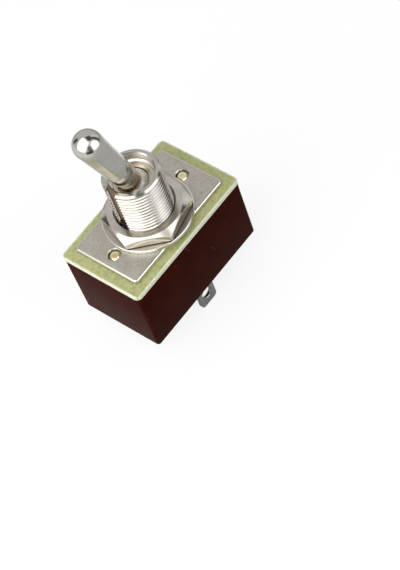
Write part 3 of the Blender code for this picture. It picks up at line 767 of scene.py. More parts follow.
def mix_palette(pivot_z: float) -> dict[str, Finish]:
    """Mixes every finish of the switch.

    Args:
        pivot_z: Height of the point that the lever swings about.

    Returns:
        The finishes by their slots, and the lever's own nickel.
    """
    board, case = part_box("insulating_plate")[1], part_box("case")
    plate_low, plate_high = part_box("bracket_plate")
    bushing, nut, washer = (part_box(node)[1] for node in ("bushing", "hex_nut", "key_washer"))
    up, over = pivot_z * math.cos(Lever.tilt), bushing.z
    # Painted reflection and shade: the lever's neck is coloured brown, as if it showed the dark hole it
    # stands in.
    painted_neck_shade = TintZone((0.46, 0.39, 0.29), (-FAR, -FAR, up + 2.8 * MM), (FAR, FAR, up + 5.0 * MM), soft=0.3 * MM)
    # Painted highlight: the lever's ball below the neck is near-white and rougher so that it looks lit.
    painted_ball_highlight = TintZone((0.96, 0.95, 0.92), high=(FAR, FAR, up + 2.45 * MM), roughness=0.3)
    # Painted highlight: the bushing's mouth is lighter than the rest of its nickel to brighten the recess;
    # its extra roughness stands for the turned bore.
    mouth = TintZone((0.64, 0.62, 0.57), (-FAR, -FAR, over - 2.6 * MM), (FAR, FAR, over - 0.1 * MM),
                  radius=4.85 * MM, roughness=0.12)
    root = bushing.x - Neck.thread_depth
    shift, half = bushing.x * math.sin(Neck.keyway_turn), Neck.keyway_width / 2
    wall = root * math.sin(Neck.keyway_turn) + half
    sheen, margin, crisp = 0.07 * MM, 0.2 * MM, 0.03 * MM
    # Painted highlight: the thread's faces cut by the keyway wall are coloured nearly white, besides being
    # rough like cut metal.
    painted_cut_highlight = TintZone((0.95, 0.93, 0.90), (-FAR, wall - sheen, nut.z), (0.0, wall + sheen, over - 0.7 * MM),
                       roughness=0.75, soft=crisp)
    # The keyway and the thread just round it are coloured darker brown.
    keyway_brown = TintZone((0.26, 0.19, 0.12), (-FAR, shift - half - margin, nut.z - MM),
                   (0.0, shift + half + margin, over + MM), root - 0.06 * MM, roughness=0.2, soft=crisp)
    # Painted highlight: the key washer's outer rim is lighter and smoother, so that it shows as a bright edge
    # line.
    painted_rim_highlight = TintZone((0.72, 0.70, 0.65), radius=washer.x - 0.3 * MM, outside=True, roughness=-0.15)
    rim = 0.35 * MM
    # Painted highlight: the bracket plate's outer edges are lighter and smoother, so that they show as bright
    # edge lines.
    painted_edge_highlight = TintZone((0.70, 0.68, 0.62), (plate_low.x + rim, plate_low.y + rim, -FAR),
                        (plate_high.x - rim, plate_high.y - rim, FAR), outside=True, roughness=-0.14,
                        soft=0.08 * MM)
    finishes = (
        Metal("nickel", (0.64, 0.61, 0.56), (0.54, 0.50, 0.44), 0.10, Grain.TURNED),
        Metal("bushing_nickel", (0.56, 0.54, 0.505), (0.48, 0.455, 0.41), 0.12, Grain.TURNED,
              tint_zones=(mouth, painted_cut_highlight, keyway_brown)),
        Metal("washer_steel", (0.50, 0.46, 0.40), (0.40, 0.36, 0.30), 0.30, Grain.TURNED,
              tint_zones=(painted_rim_highlight,)),
        # The spring steel's brown is partly painted light: it is made lighter to brighten the lock washer in
        # the shaded gap under the nut.
        Metal("spring_steel", (0.62, 0.52, 0.40), (0.40, 0.31, 0.21), 0.34),
        Metal("bracket_steel", (0.56, 0.53, 0.47), (0.49, 0.46, 0.40), 0.23, cloud_size=4.0 * MM,
              grain_size=0.26 * MM, grain_depth=0.009 * MM, marks=0.30, pits=0.42, tint_zones=(painted_edge_highlight,)),
        Metal("screw_brass", (0.88, 0.92, 0.70), (0.72, 0.52, 0.16), 0.12, cloud_size=1.3 * MM,
              grain_size=0.9 * MM, grain_depth=0.12 * MM),
        Metal("ring_brass", (0.64, 0.58, 0.49), (0.52, 0.43, 0.33), 0.18, Grain.TURNED),
        Metal("tinned_brass", (0.37, 0.37, 0.36), (0.29, 0.29, 0.28), 0.30, Grain.ROLLED,
              grain_depth=0.002 * MM, marks=0.12),
        Metal("rocker_bronze", (0.62, 0.38, 0.20), (0.44, 0.24, 0.12), 0.24, Grain.ROLLED),
        Metal("contact_silver", (0.82, 0.81, 0.78), (0.55, 0.53, 0.50), 0.20),
        Moulded("block_nylon", (0.68, 0.66, 0.57), (0.60, 0.57, 0.47), 0.38),
        GlassBoard("glass_board", (0.385, 0.385, 0.19), (0.225, 0.27, 0.08), (0.64, 0.66, 0.54),
                   half_length=board.x, half_width=board.y),
        Phenolic("phenolic", (0.021, 0.0020, 0.0005), (0.034, 0.0050, 0.0014), (0.30, 0.19, 0.15),
                 (0.16, 0.065, 0.040), *map(tuple, case)))
    palette: dict[str, Finish] = {finish.slot: finish for finish in finishes}
    palette["lever_nickel"] = Metal("nickel", (0.57, 0.56, 0.52), (0.50, 0.49, 0.44), 0.10, Grain.DRAWN,
                                    grain_depth=0.0004 * MM, marks=0.05, tilt=Lever.tilt,
                                    tint_zones=(painted_neck_shade, painted_ball_highlight))
    return palette


# Assemblies


def find_joint(frame: dict[str, Any], name: str) -> dict[str, Any]:
    """Finds one of the frame's joints by its name."""
    return next(joint for joint in frame["joints"] if joint["name"] == name)


@dataclass(frozen=True)
class Assembly:
    """A sub-assembly, made round the loaded frame and dressed from the palette."""

    frame: dict[str, Any]
    palette: dict[str, Finish]

    def pivot(self) -> Vector:
        """Gives the point that the lever swings about."""
        return Vector(find_joint(self.frame, "lever_pivot")["pos_m"])

    def dress(self, name: str, shape: Shape, finish: str, node: str, body: str = "housing",
              angle: float = 35.0) -> bpy.types.Object:
        """Makes a piece of the object from a finished shape.

        Args:
            name: The piece's name.
            shape: Its mesh, used up here.
            finish: Which of the palette's finishes it gets.
            node: The CAD node that it stands for.
            body: The CAD body that it rides on.
            angle: Edges that turn more than this many degrees stay sharp.

        Returns:
            The piece.
        """
        mesh = shape.to_mesh(name)
        mesh.shade_smooth()
        mesh.set_sharp_from_angle(angle=math.radians(angle))
        mesh.materials.append(self.palette[finish].material())
        piece = add_object(name, mesh)
        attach(piece, body)
        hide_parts(node)
        LOG.info("%s: %d faces on %s", name, len(mesh.polygons), body)
        return piece


@dataclass(frozen=True)
class Housing(Assembly):
    """The moulded case with its cover board, its bracket plate and the two screws that clamp them."""

    screw_inset: float = 5.2 * MM
    corner: float = 0.7 * MM
    draft: float = 0.1 * MM
    rubbed: float = 0.16 * MM
    end_wall: float = 1.6 * MM
    side_wall: float = 1.1 * MM
    floor: float = 3.4 * MM
    post_radius: float = 3.3 * MM
    post_margin: float = 0.15 * MM
    barrier_thickness: float = 1.2 * MM
    barrier_height: float = 7.6 * MM
    counterbore_radius: float = 2.45 * MM
    counterbore_depth: float = 5.5 * MM
    counterbore_lip: float = 0.15 * MM
    screw_hole_radius: float = 1.5 * MM
    slot_clearance: float = 0.25 * MM
    board_corner: float = 1.2 * MM
    board_edge: float = 0.14 * MM
    board_hole: float = 6.0 * MM
    bracket_corner: float = 0.7 * MM
    bracket_edge: float = 0.38 * MM
    bracket_hole: float = 5.5 * MM
    burr: float = 0.06 * MM
    tapped_radius: float = 1.34 * MM
    tapped_sink: float = 0.2 * MM
    head_edge: float = 0.25 * MM
    head_dome: float = 0.12 * MM
    head_slot: float = 0.6 * MM
    head_slot_depth: float = 0.7 * MM
    shank: float = 1.25 * MM
    shank_pitch: float = 0.5 * MM
    shank_thread: float = 0.27 * MM
    point: float = 0.38 * MM
    point_height: float = 0.45 * MM

    def build(self) -> None:
        """Makes the case, the two plates and the screws."""
        self.make_case()
        self.make_board()
        self.make_bracket()
        self.make_screw("on_side", 1)
        self.make_screw("off_side", -1)

    def screw_x(self) -> float:
        """Gives the screws' distance from the middle."""
        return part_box("case")[1].x - self.screw_inset

    def drills(self, profile: Sequence[Point], steps: int) -> list[Shape]:
        """Turns a cutter for each of the two screws."""
        return [Shape.lathe(profile, steps).move(end * self.screw_x(), 0, 0) for end in SIDES]

    def make_case(self) -> None:
        """Moulds the case: drafted walls, two pole pockets, counterbores and lug slots."""
        low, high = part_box("case")
        case = Shape.box(low, high).bevel(self.corner, 6, upright)
        foot = [vert for vert in case.bm.verts if vert.co.z < low.z + WELD]
        shrink = (1 - self.draft / high.x, 1 - self.draft / high.y, 1)
        bmesh.ops.scale(case.bm, vec=shrink, verts=foot)
        case.bevel(self.rubbed, 3, sharp)
        case.cut(*(self.pocket(side) for side in SIDES))
        reach = self.screw_x() - self.post_radius - self.post_margin
        barrier_top = low.z + self.floor + self.barrier_height
        case.cut(Shape.box((-reach, -self.barrier_thickness, barrier_top),
                           (reach, self.barrier_thickness, high.z + MM)))
        wide, lip = self.counterbore_radius + self.counterbore_lip, low.z + self.counterbore_lip
        case.cut(*self.drills([(wide, low.z - MM), (wide, low.z), (self.counterbore_radius, lip),
                               (self.counterbore_radius, self.counterbore_depth),
                               (self.screw_hole_radius, self.counterbore_depth),
                               (self.screw_hole_radius, high.z + MM)], 48))
        for side, name in POLES:
            for kind, end in (("common", 1), ("load", 1), ("load", -1)):
                case.cut(self.lug_slot(f"terminal_{kind}_{name}", side, end))
        self.dress("case_moulding", case, "phenolic", "case")

    def pocket(self, side: int) -> Shape:
        """Gives the hollow for one pole, between side wall, barrier and screw posts.

        Args:
            side: The pole's side.

        Returns:
            The cutter.
        """
        low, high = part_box("case")
        cavity_x, cavity_y = high.x - self.end_wall, high.y - self.side_wall
        floor, radius = low.z + self.floor, self.post_radius
        meet = math.asin(self.barrier_thickness / 2 / radius)
        outline = [(-cavity_x, radius), (-cavity_x, cavity_y), (cavity_x, cavity_y), (cavity_x, radius)]
        outline += arc(radius, (self.screw_x(), 0), math.pi / 2, math.pi - meet, 16)
        outline += arc(radius, (-self.screw_x(), 0), meet, math.pi / 2, 16)
        return Shape.prism([(x, side * y, floor) for x, y in outline], (0, 0, high.z - floor + MM))

    def lug_slot(self, terminal: str, side: int, end: int) -> Shape:
        """Gives a slot in the floor for a terminal's blade, or a spare one at the other end.

        Args:
            terminal: The terminal's CAD node.
            side: The pole's side.
            end: 1 at the terminal's own end and -1 at the other.

        Returns:
            The cutter.
        """
        low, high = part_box(terminal)
        near, far = sorted((abs(low.y), abs(high.y)))
        if "common" in terminal:
            near = far - Terminals.sheet
        play = self.slot_clearance / 2
        x0, x1 = span(end, low.x, high.x)
        y0, y1 = span(side, near - play, near + Terminals.sheet + play)
        return Shape.box((x0 - play, y0, -MM), (x1 + play, y1, self.floor + MM))

    def make_board(self) -> None:
        """Cuts the green glass-fibre board that covers the case."""
        low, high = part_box("insulating_plate")
        case_top, bracket_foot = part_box("case")[1].z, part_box("bracket_plate")[0].z
        board = Shape.box((low.x, low.y, case_top + SEAT), (high.x, high.y, bracket_foot - SEAT))
        board.bevel(self.board_corner, 12, upright).bevel(self.board_edge, 3, sharp)
        hole, bottom = self.screw_hole_radius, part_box("bushing")[0].z - 2 * MM
        board.cut(Shape.rod(self.board_hole, bottom, high.z + MM, 64),
                  *self.drills([(hole, low.z - MM), (hole, high.z + MM)], 32))
        self.dress("insulating_board", board, "glass_board", "insulating_plate")

    def make_bracket(self) -> None:
        """Stamps the steel plate that carries the bushing: rolled edges and two tapped holes."""
        low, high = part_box("bracket_plate")
        plate = Shape.box(low, high).bevel(self.bracket_corner, 8, upright)
        plate.bevel(self.bracket_edge, 5, lambda edge: sharp(edge) and edge.verts[0].co.z > high.z - WELD)
        plate.bevel(self.burr, 2, lambda edge: sharp(edge, math.radians(60)))
        hole, sink = self.tapped_radius, self.tapped_sink
        tapped = [(hole, low.z - MM), (hole, high.z - sink), (hole + sink + MM, high.z + MM)]
        plate.cut(Shape.rod(self.bracket_hole, low.z - MM, high.z + MM, 64), *self.drills(tapped, 40))
        self.dress("bracket_stamping", plate, "bracket_steel", "bracket_plate")

    def make_screw(self, name: str, end: int) -> None:
        """Turns one slotted screw, threaded up to its tip.

        Args:
            name: The last part of its name.
            end: 1 or -1, for the end of the case that it is at.
        """
        node = "case_screw_" + name
        low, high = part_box(node)
        radius, shank, edge, dome = (high.x - low.x) / 2, self.shank, self.head_edge, self.head_dome
        seat = self.counterbore_depth - GAP
        screw = Shape.lathe([(0.0, low.z), (radius - 3 * edge, low.z + dome / 3),
                             (radius - edge, low.z + dome), (radius, low.z + dome + edge), (radius, seat),
                             (0.6 * shank, seat)], 48)
        root, over, slot = shank - self.shank_thread, shank + 0.1 * MM, self.head_slot / 2
        point = Shape.lathe([(0.0, seat - MM), (over, seat - MM), (over, high.z - self.point_height),
                             (shank - self.point, high.z), (0.0, high.z + 0.001 * MM)], 48)
        thread = Shape.thread(shank, root, self.shank_pitch, seat - 0.3 * MM, high.z, 32)
        screw.join(thread.combine(Operation.KEEP, point))
        screw.cut(Shape.box((-radius - MM, -slot, low.z - MM),
                            (radius + MM, slot, low.z + self.head_slot_depth)))
        screw.move(end * self.screw_x(), 0, 0)
        self.dress("slotted_screw_" + name, screw, "screw_brass", node)


@dataclass(frozen=True)
class Neck(Assembly):
    """The threaded bushing, its retaining ring, and the washers and nut on its thread."""

    pitch: float = 0.88 * MM
    thread_depth: float = 0.45 * MM
    lip_height: float = 0.75 * MM
    lip_chamfer: float = 0.45 * MM
    lip_edge: float = 0.06 * MM
    spigot: float = 5.45 * MM
    swage: float = 5.8 * MM
    swage_edge: float = 0.15 * MM
    mouth_radius: float = 4.65 * MM
    mouth_depth: float = 1.85 * MM
    mouth_chamfer: float = 0.28 * MM
    ledge_fall: float = 0.2 * MM
    ring_bore: float = 4.2 * MM
    ring_chamfer: tuple[float, float] = (0.42 * MM, 0.3 * MM)
    socket_radius: float = 3.45 * MM
    ring_seat: float = 3.36 * MM
    seat_lip: float = 2.6 * MM
    tail_bore: float = 4.9 * MM
    keyway_width: float = 2.6 * MM
    keyway_depth: float = 0.8 * MM
    keyway_turn: float = math.radians(6)
    key_play: float = 0.15 * MM
    key_length: float = 0.75 * MM
    washer_edge: float = 0.1 * MM
    trunnion_notch: float = 0.9 * MM
    across_flats: float = 16.2 * MM
    chamfer_radius: float = 7.75 * MM
    chamfer_angle: float = math.radians(36)
    nut_turn: float = math.radians(12.5)
    nut_sink: float = 0.42 * MM
    squeeze: float = 0.12 * MM
    teeth: int = 14
    tooth_length: float = 0.6 * MM
    tooth_twist: float = math.radians(13)

    def build(self) -> None:
        """Makes the bushing, ring, washers and nut."""
        self.make_bushing()
        self.make_retaining_ring()
        self.make_key_washer()
        self.make_lock_washer()
        self.make_nut()

    def make_bushing(self) -> None:
        """Cuts the bushing: real thread, plain lip, keyway, and the socket for the lever's ball."""
        low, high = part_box("bushing")
        plate_low, plate_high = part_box("bracket_plate")
        crest, root, edge = high.x, high.x - self.thread_depth, self.lip_edge
        lip, flat, under = high.z - self.lip_height, crest - self.lip_chamfer, high.z - self.lip_chamfer
        bushing = Shape.thread(crest, root, self.pitch, plate_high.z + SEAT, lip, 96)
        swage, swage_top, spigot_top = self.swage, plate_low.z - GAP, plate_high.z + 0.3 * MM
        bushing.join(
            Shape.lathe([(0.0, lip - 0.2 * MM), (root, lip - 0.2 * MM), (crest, lip + 0.05 * MM),
                         (crest, under - edge), (crest - 0.3 * edge, under),
                         (flat + edge, high.z - 0.3 * edge), (flat - edge, high.z), (0.0, high.z)], 96),
            Shape.lathe([(0.0, low.z), (swage - self.swage_edge, low.z), (swage, low.z + self.swage_edge),
                         (swage, swage_top), (self.spigot, swage_top), (self.spigot, spigot_top),
                         (0.0, spigot_top)], 96))
        pivot_z, socket, over = self.pivot().z, self.socket_radius, high.z + MM
        ring_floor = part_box("retaining_ring")[0].z - GAP
        socket_floor = pivot_z - math.sqrt(socket**2 - self.seat_lip**2)
        mouth_floor, mouth_edge = high.z - self.mouth_depth, self.mouth_radius + self.mouth_chamfer
        bushing.cut(Shape.lathe([
            (0.0, low.z - MM), (self.tail_bore, low.z - MM), (self.tail_bore, low.z),
            (self.seat_lip, socket_floor), (socket, socket_floor + 0.05 * MM), (socket, ring_floor),
            (self.ring_bore, ring_floor), (self.ring_bore, mouth_floor - self.ledge_fall),
            (self.mouth_radius, mouth_floor), (self.mouth_radius, high.z - self.mouth_chamfer),
            (mouth_edge, high.z), (mouth_edge, over), (0.0, over)], 96))
        half, notch = self.keyway_width / 2, self.trunnion_notch
        keyway = Shape.box((-crest - MM, -half, plate_high.z + 0.2 * MM),
                           (self.keyway_depth - crest, half, over))
        bushing.cut(keyway.turn(-self.keyway_turn, "Z"))
        for side in SIDES:
            y0, y1 = span(side, socket - 0.5 * MM, self.ring_bore - 0.1 * MM)
            bushing.cut(Shape.box((-notch, y0, pivot_z - notch), (notch, y1, ring_floor + GAP)))
        self.dress("threaded_bushing", bushing, "bushing_nickel", "bushing", angle=12)

    def make_retaining_ring(self) -> None:
        """Turns the ring that holds the lever's ball down."""
        low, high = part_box("retaining_ring")
        outer, (wide, deep) = self.ring_bore - SEAT, self.ring_chamfer
        inner = math.sqrt(self.ring_seat**2 - (low.z - self.pivot().z)**2)
        ring = Shape.lathe([(inner, low.z), (outer, low.z), (outer, high.z), (inner + wide, high.z),
                            (inner, high.z - deep)], 96, ring=True)
        self.dress("ball_retainer", ring, "ring_brass", "retaining_ring")

    def make_key_washer(self) -> None:
        """Stamps the flat washer whose tab sits in the keyway."""
        low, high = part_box("key_washer")
        outer, inner, edge = high.x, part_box("bushing")[1].x + GAP, self.washer_edge
        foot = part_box("bracket_plate")[1].z + SEAT
        washer = Shape.lathe(
            [(inner, foot), (outer - edge, foot), (outer, foot + edge), (outer, high.z - edge),
             (outer - edge, high.z), (inner, high.z)], 128, ring=True)
        half, thin = self.keyway_width / 2 - self.key_play, 0.1 * MM
        tab = Shape.box((-inner - 0.3 * MM, -half, low.z + thin),
                        (self.key_length - inner, half, high.z - thin))
        washer.join(tab.turn(-self.keyway_turn, "Z"))
        self.dress("keyed_washer", washer, "washer_steel", "key_washer")

    def make_lock_washer(self) -> None:
        """Stamps the lock washer and twists each of its outer teeth."""
        low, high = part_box("lock_washer")
        low.z, high.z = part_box("key_washer")[1].z + SEAT, high.z - self.squeeze
        middle, thin = (low.z + high.z) / 2, (high.z - low.z) / 2 * 0.8
        inner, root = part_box("bushing")[1].x + GAP, high.y - self.tooth_length
        washer = Shape.lathe([(inner, low.z), (root, low.z), (root, high.z), (inner, high.z)], 112, ring=True)
        width = math.pi * high.y / self.teeth * 0.5
        for tooth in range(self.teeth):
            shape = Shape.box((root - 0.25 * MM, -width, middle - thin),
                              (high.y - 0.05 * MM, width, middle + thin))
            shape.turn(self.tooth_twist, "X", (0, 0, middle)).turn(math.tau * tooth / self.teeth, "Z")
            washer.join(shape)
        self.dress("toothed_washer", washer, "spring_steel", "lock_washer")

    def make_nut(self) -> None:
        """Cuts the hexagon nut, chamfered above and countersunk at its bore."""
        low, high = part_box("hex_nut")
        low.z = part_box("lock_washer")[1].z - self.squeeze + SEAT
        corner = self.across_flats / 2 / math.cos(math.pi / 6)
        turns = [math.pi / 3 * side + self.nut_turn for side in range(6)]
        nut = Shape.prism([(corner * math.cos(turn), corner * math.sin(turn), low.z) for turn in turns],
                          (0, 0, high.z - low.z))
        foot_edge, beyond = 0.04 * MM, 0.3 * MM
        reach = corner + beyond
        fall = (reach - self.chamfer_radius) * math.tan(self.chamfer_angle)
        nut.combine(Operation.KEEP, Shape.lathe(
            [(0.0, low.z), (corner - foot_edge, low.z), (reach, low.z + foot_edge + beyond),
             (reach, high.z - fall), (self.chamfer_radius, high.z), (0.0, high.z)], 192))
        bore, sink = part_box("bushing")[1].x + 0.03 * MM, self.nut_sink
        nut.cut(Shape.lathe([(bore, low.z - MM), (bore, high.z - sink), (bore + sink + MM, high.z + MM)], 96))
        self.dress("hexagon_nut", nut, "nickel", "hex_nut", angle=20)


@dataclass(frozen=True)
class Lever(Assembly):
    """The bat lever that swings on its ball in the bushing."""

    tilt: float = math.radians(16.5)
    ball: float = 3.3 * MM
    neck: float = 2.2 * MM
    neck_top: float = 3.0 * MM
    fillet: float = 0.12 * MM
    flare: float = 2.3 * MM
    flare_height: float = 4.2 * MM
    shoulder: float = 2.45 * MM
    shoulder_height: float = 5.4 * MM
    lip: float = 0.1 * MM
    tip: float = 3.07 * MM
    tip_height: float = 21.27 * MM
    tail: float = 1.2 * MM
    tail_edge: float = 0.2 * MM
    tail_length: float = 16.0 * MM
    pin_hole: float = 0.6 * MM
    pin_height: float = 15.1 * MM
    trunnion_hole: float = 0.85 * MM

    def profile(self) -> list[tuple[float, float]]:
        """Gives the lever's outline from its tail to its domed tip, about the pivot."""
        points = [(0.0, -self.tail_length), (self.tail - self.tail_edge, -self.tail_length),
                  (self.tail, self.tail_edge - self.tail_length)]
        neck_meets = math.acos((self.neck + self.fillet) / self.ball)
        points += arc(self.ball, (0, 0), -math.acos(self.tail / self.ball), neck_meets, 28)
        hollow = points[-1][1]
        points += [(self.neck + self.fillet * (1 - share)**2, hollow + (self.neck_top - hollow) * share)
                   for share in shares(6)]
        rise = self.flare_height - self.neck_top
        points += [(self.neck + (self.flare - self.neck) * (share * share * (3 - 2 * share)),
                    self.neck_top + rise * share) for share in shares(6)]
        shoulder, lip = self.shoulder_height, self.lip
        points += [(self.flare, shoulder - 0.3 * MM), (self.flare + lip / 2, shoulder - 0.22 * MM),
                   (self.shoulder - lip / 2, shoulder - 0.05 * MM), (self.shoulder, shoulder + lip)]
        points += [(self.shoulder + (self.tip - self.shoulder) * share**0.9,
                    shoulder + lip + (self.tip_height - shoulder - lip) * share) for share in shares(12)]
        points += arc(self.tip, (0, self.tip_height), 0, math.pi / 2, 24)[1:-1]
        return points + [(0.0, self.tip_height + self.tip)]

    def build(self) -> None:
        """Turns the lever and drills its two pin holes."""
        reach = self.ball + MM
        trunnion = Shape.rod(self.trunnion_hole, -reach, reach, 32).turn(math.pi / 2, "X")
        pin = Shape.rod(self.pin_hole, -reach, reach, 24).turn(math.pi / 2, "Y").move(0, 0, -self.pin_height)
        lever = Shape.lathe(self.profile(), 128).cut(trunnion, pin)
        lever.turn(-self.tilt, "Y").move(*self.pivot())
        self.dress("bat_lever", lever, "lever_nickel", "lever", "lever", angle=30)


@dataclass(frozen=True)
class Terminals(Assembly):
    """The four tinned terminals: bent strip with a drilled solder lug below the case."""

    sheet: float = 0.8 * MM
    lug_corner: float = 0.9 * MM
    hole_radius: float = 1.3 * MM
    hole_drop: float = 3.05 * MM
    hole_edge: float = 0.12 * MM
    foot: float = 3.5 * MM
    ear_spacing: float = 3.8 * MM
    notch_radius: float = 0.7 * MM
    notch_height: float = 5.6 * MM
    rivet_hole: float = 0.6 * MM

    def build(self) -> None:
        """Makes all four."""
        for side, name in POLES:
            self.make_common(side, name)
            self.make_load(side, name)

    def blade(self, low: Vector, high: Vector, y: float) -> Shape:
        """Makes the upright blade with a rounded lug end and a chamfered hole.

        Args:
            low: The terminal's lowest corner.
            high: Its highest corner.
            y: Where the middle of the blade's thickness is.

        Returns:
            The blade.
        """
        half, radius, lip = self.sheet / 2, self.hole_radius, self.hole_edge
        blade = Shape.box((low.x, y - half, low.z), (high.x, y + half, high.z))
        blade.bevel(self.lug_corner, 6, lambda edge: all(v.co.z < low.z + WELD for v in edge.verts)
                    and abs(edge.verts[0].co.x - edge.verts[1].co.x) < WELD)
        over = radius + lip + 0.1 * MM
        hole = Shape.lathe([(over, -self.sheet), (radius + lip, -half), (radius, lip - half),
                            (radius, half - lip), (radius + lip, half), (over, self.sheet)], 48)
        return blade.cut(hole.turn(math.pi / 2, "X").move((low.x + high.x) / 2, y, -self.hole_drop))

    def make_common(self, side: int, name: str) -> None:
        """Makes the terminal whose two ears carry a rocker.

        Args:
            side: The pole's side.
            name: The pole's name.
        """
        node = "terminal_common_" + name
        low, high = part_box(node)
        half, radius = self.sheet / 2, self.notch_radius
        y = side * (max(abs(low.y), abs(high.y)) - half)
        inner = y - side * self.ear_spacing
        y0, y1 = sorted((inner - side * half, y))
        strip = self.blade(low, high, y).join(
            Shape.box((low.x, y0, self.foot), (high.x, y1, self.foot + self.sheet)),
            Shape.box((low.x, inner - half, self.foot), (high.x, inner + half, high.z)))
        notch = arc(radius, (0, self.notch_height), math.pi, math.tau, 16)
        notch += [(radius, high.z + MM), (-radius, high.z + MM)]
        y0, y1 = sorted((inner - side * MM, y + side * MM))
        strip.cut(Shape.prism([(x, y0, z) for x, z in notch], (0, y1 - y0, 0)))
        self.dress("common_lug_" + name, strip, "tinned_brass", node)

    def make_load(self, side: int, name: str) -> None:
        """Makes the terminal whose shelf carries a fixed contact.

        Args:
            side: The pole's side.
            name: The pole's name.
        """
        node = "terminal_load_" + name
        low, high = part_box(node)
        near, far = sorted((abs(low.y), abs(high.y)))
        y0, y1 = span(side, near, far)
        strip = self.blade(low, high, side * (near + self.sheet / 2))
        strip.join(Shape.box((low.x, y0, high.z - self.sheet), (high.x, y1, high.z)))
        contact_low, contact_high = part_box("fixed_contact_" + name)
        middle = (contact_low + contact_high) / 2
        rivet = Shape.rod(self.rivet_hole, high.z - 2 * self.sheet, high.z + self.sheet, 32)
        strip.cut(rivet.move(middle.x, middle.y, 0))
        self.dress("load_lug_" + name, strip, "tinned_brass", node)


@dataclass(frozen=True)
class Works(Assembly):
    """The pieces inside the case, whose CAD shapes stay and get their finishes."""

    def build(self) -> None:
        """Dresses each inner CAD node and makes the springs."""
        finishes = {"trunnion_pin": "spring_steel", "block_pin": "spring_steel",
                    "actuator_block": "block_nylon"}
        for _, name in POLES:
            for kind, finish in (("fixed_contact_", "contact_silver"), ("moving_contact_", "contact_silver"),
                                 ("rocker_", "rocker_bronze"), ("plunger_", "ring_brass")):
                finishes[kind + name] = finish
            self.make_spring(name)
        for node, finish in finishes.items():
            mesh = self.frame["nodes"][node].data
            mesh.materials.clear()
            mesh.materials.append(self.palette[finish].material())
            LOG.info("%s: dressed", node)

    def make_spring(self, name: str) -> None:
        """Makes a plunger's spring from a copy of its CAD shape, riding with the lever.

        Args:
            name: The pole's name.
        """
        node = "plunger_spring_" + name
        mesh = self.frame["nodes"][node].data
        slide = find_joint(self.frame, f"plunger_{name}_slide")
        up = Vector(slide["axis"])
        points = [vert.co.copy() for vert in mesh.vertices]
        foot, top = min(points, key=up.dot), max(points, key=up.dot)
        travel = max(slide["range_m"]) - min(slide["range_m"])
        spring = self.dress("coil_spring_" + name, Shape.copy_of(mesh), "spring_steel", node, "lever")
        1 - travel / up.dot(top - foot)
        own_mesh(spring)


# The studio


def facing(azimuth: float, elevation: float, roll: float, distance: float,
           target: Point = (0, 0, 0)) -> Matrix:
    """Stands a lamp, a card or the camera so that it faces a point. Angles are in degrees.

    Args:
        azimuth: Where it stands, from -Y towards +X.
        elevation: How high it stands.
        roll: How far it is turned about its line of sight.
        distance: How far it is from the point.
        target: The point.

    Returns:
        Its placement.
    """
    across, up = math.radians(azimuth), math.radians(elevation)
    way = Vector((math.sin(across) * math.cos(up), -math.cos(across) * math.cos(up), math.sin(up)))
    turned = way.to_track_quat("Z", "Y").to_matrix() @ Matrix.Rotation(math.radians(roll), 3, "Z")
    return Matrix.Translation(Vector(target) + way * distance) @ turned.to_4x4()


@dataclass(frozen=True)
class Panel:
    """A flat panel that faces the switch, where a radiance of 1 is white. Its angles are in degrees."""

    name: str
    azimuth: float
    elevation: float
    half_width: float
    half_height: float
    radiance: float
    distance: float = 0.5
    oval: bool = False
    roll: float = 0.0
    mirrored: bool = True

    def size(self) -> tuple[float, ...]:
        """Gives its width and height."""
        return tuple(2 * self.distance * math.tan(math.radians(half))
                     for half in (self.half_width, self.half_height))

    def hang(self, data: bpy.types.ID) -> bpy.types.Object:
        """Hangs the panel where it belongs, out of the camera's sight.

        Args:
            data: Its lamp or mesh.

        Returns:
            The panel's object.
        """
        panel = add_object(self.name, data)
        panel.matrix_world = facing(self.azimuth, self.elevation, self.roll, self.distance)
        panel.visible_camera = False
        panel.visible_glossy = self.mirrored
        return panel


@dataclass(frozen=True)
class SoftBox(Panel):
    """A soft box."""

    def build(self) -> None:
        """Makes the lamp."""
        data = bpy.data.lights.new(self.name, "AREA")
        data.shape = "ELLIPSE" if self.oval else "RECTANGLE"
        data.size, data.size_y = self.size()
        data.energy = self.radiance * math.pi * data.size * data.size_y * (math.pi / 4 if self.oval else 1.0)
        self.hang(data)


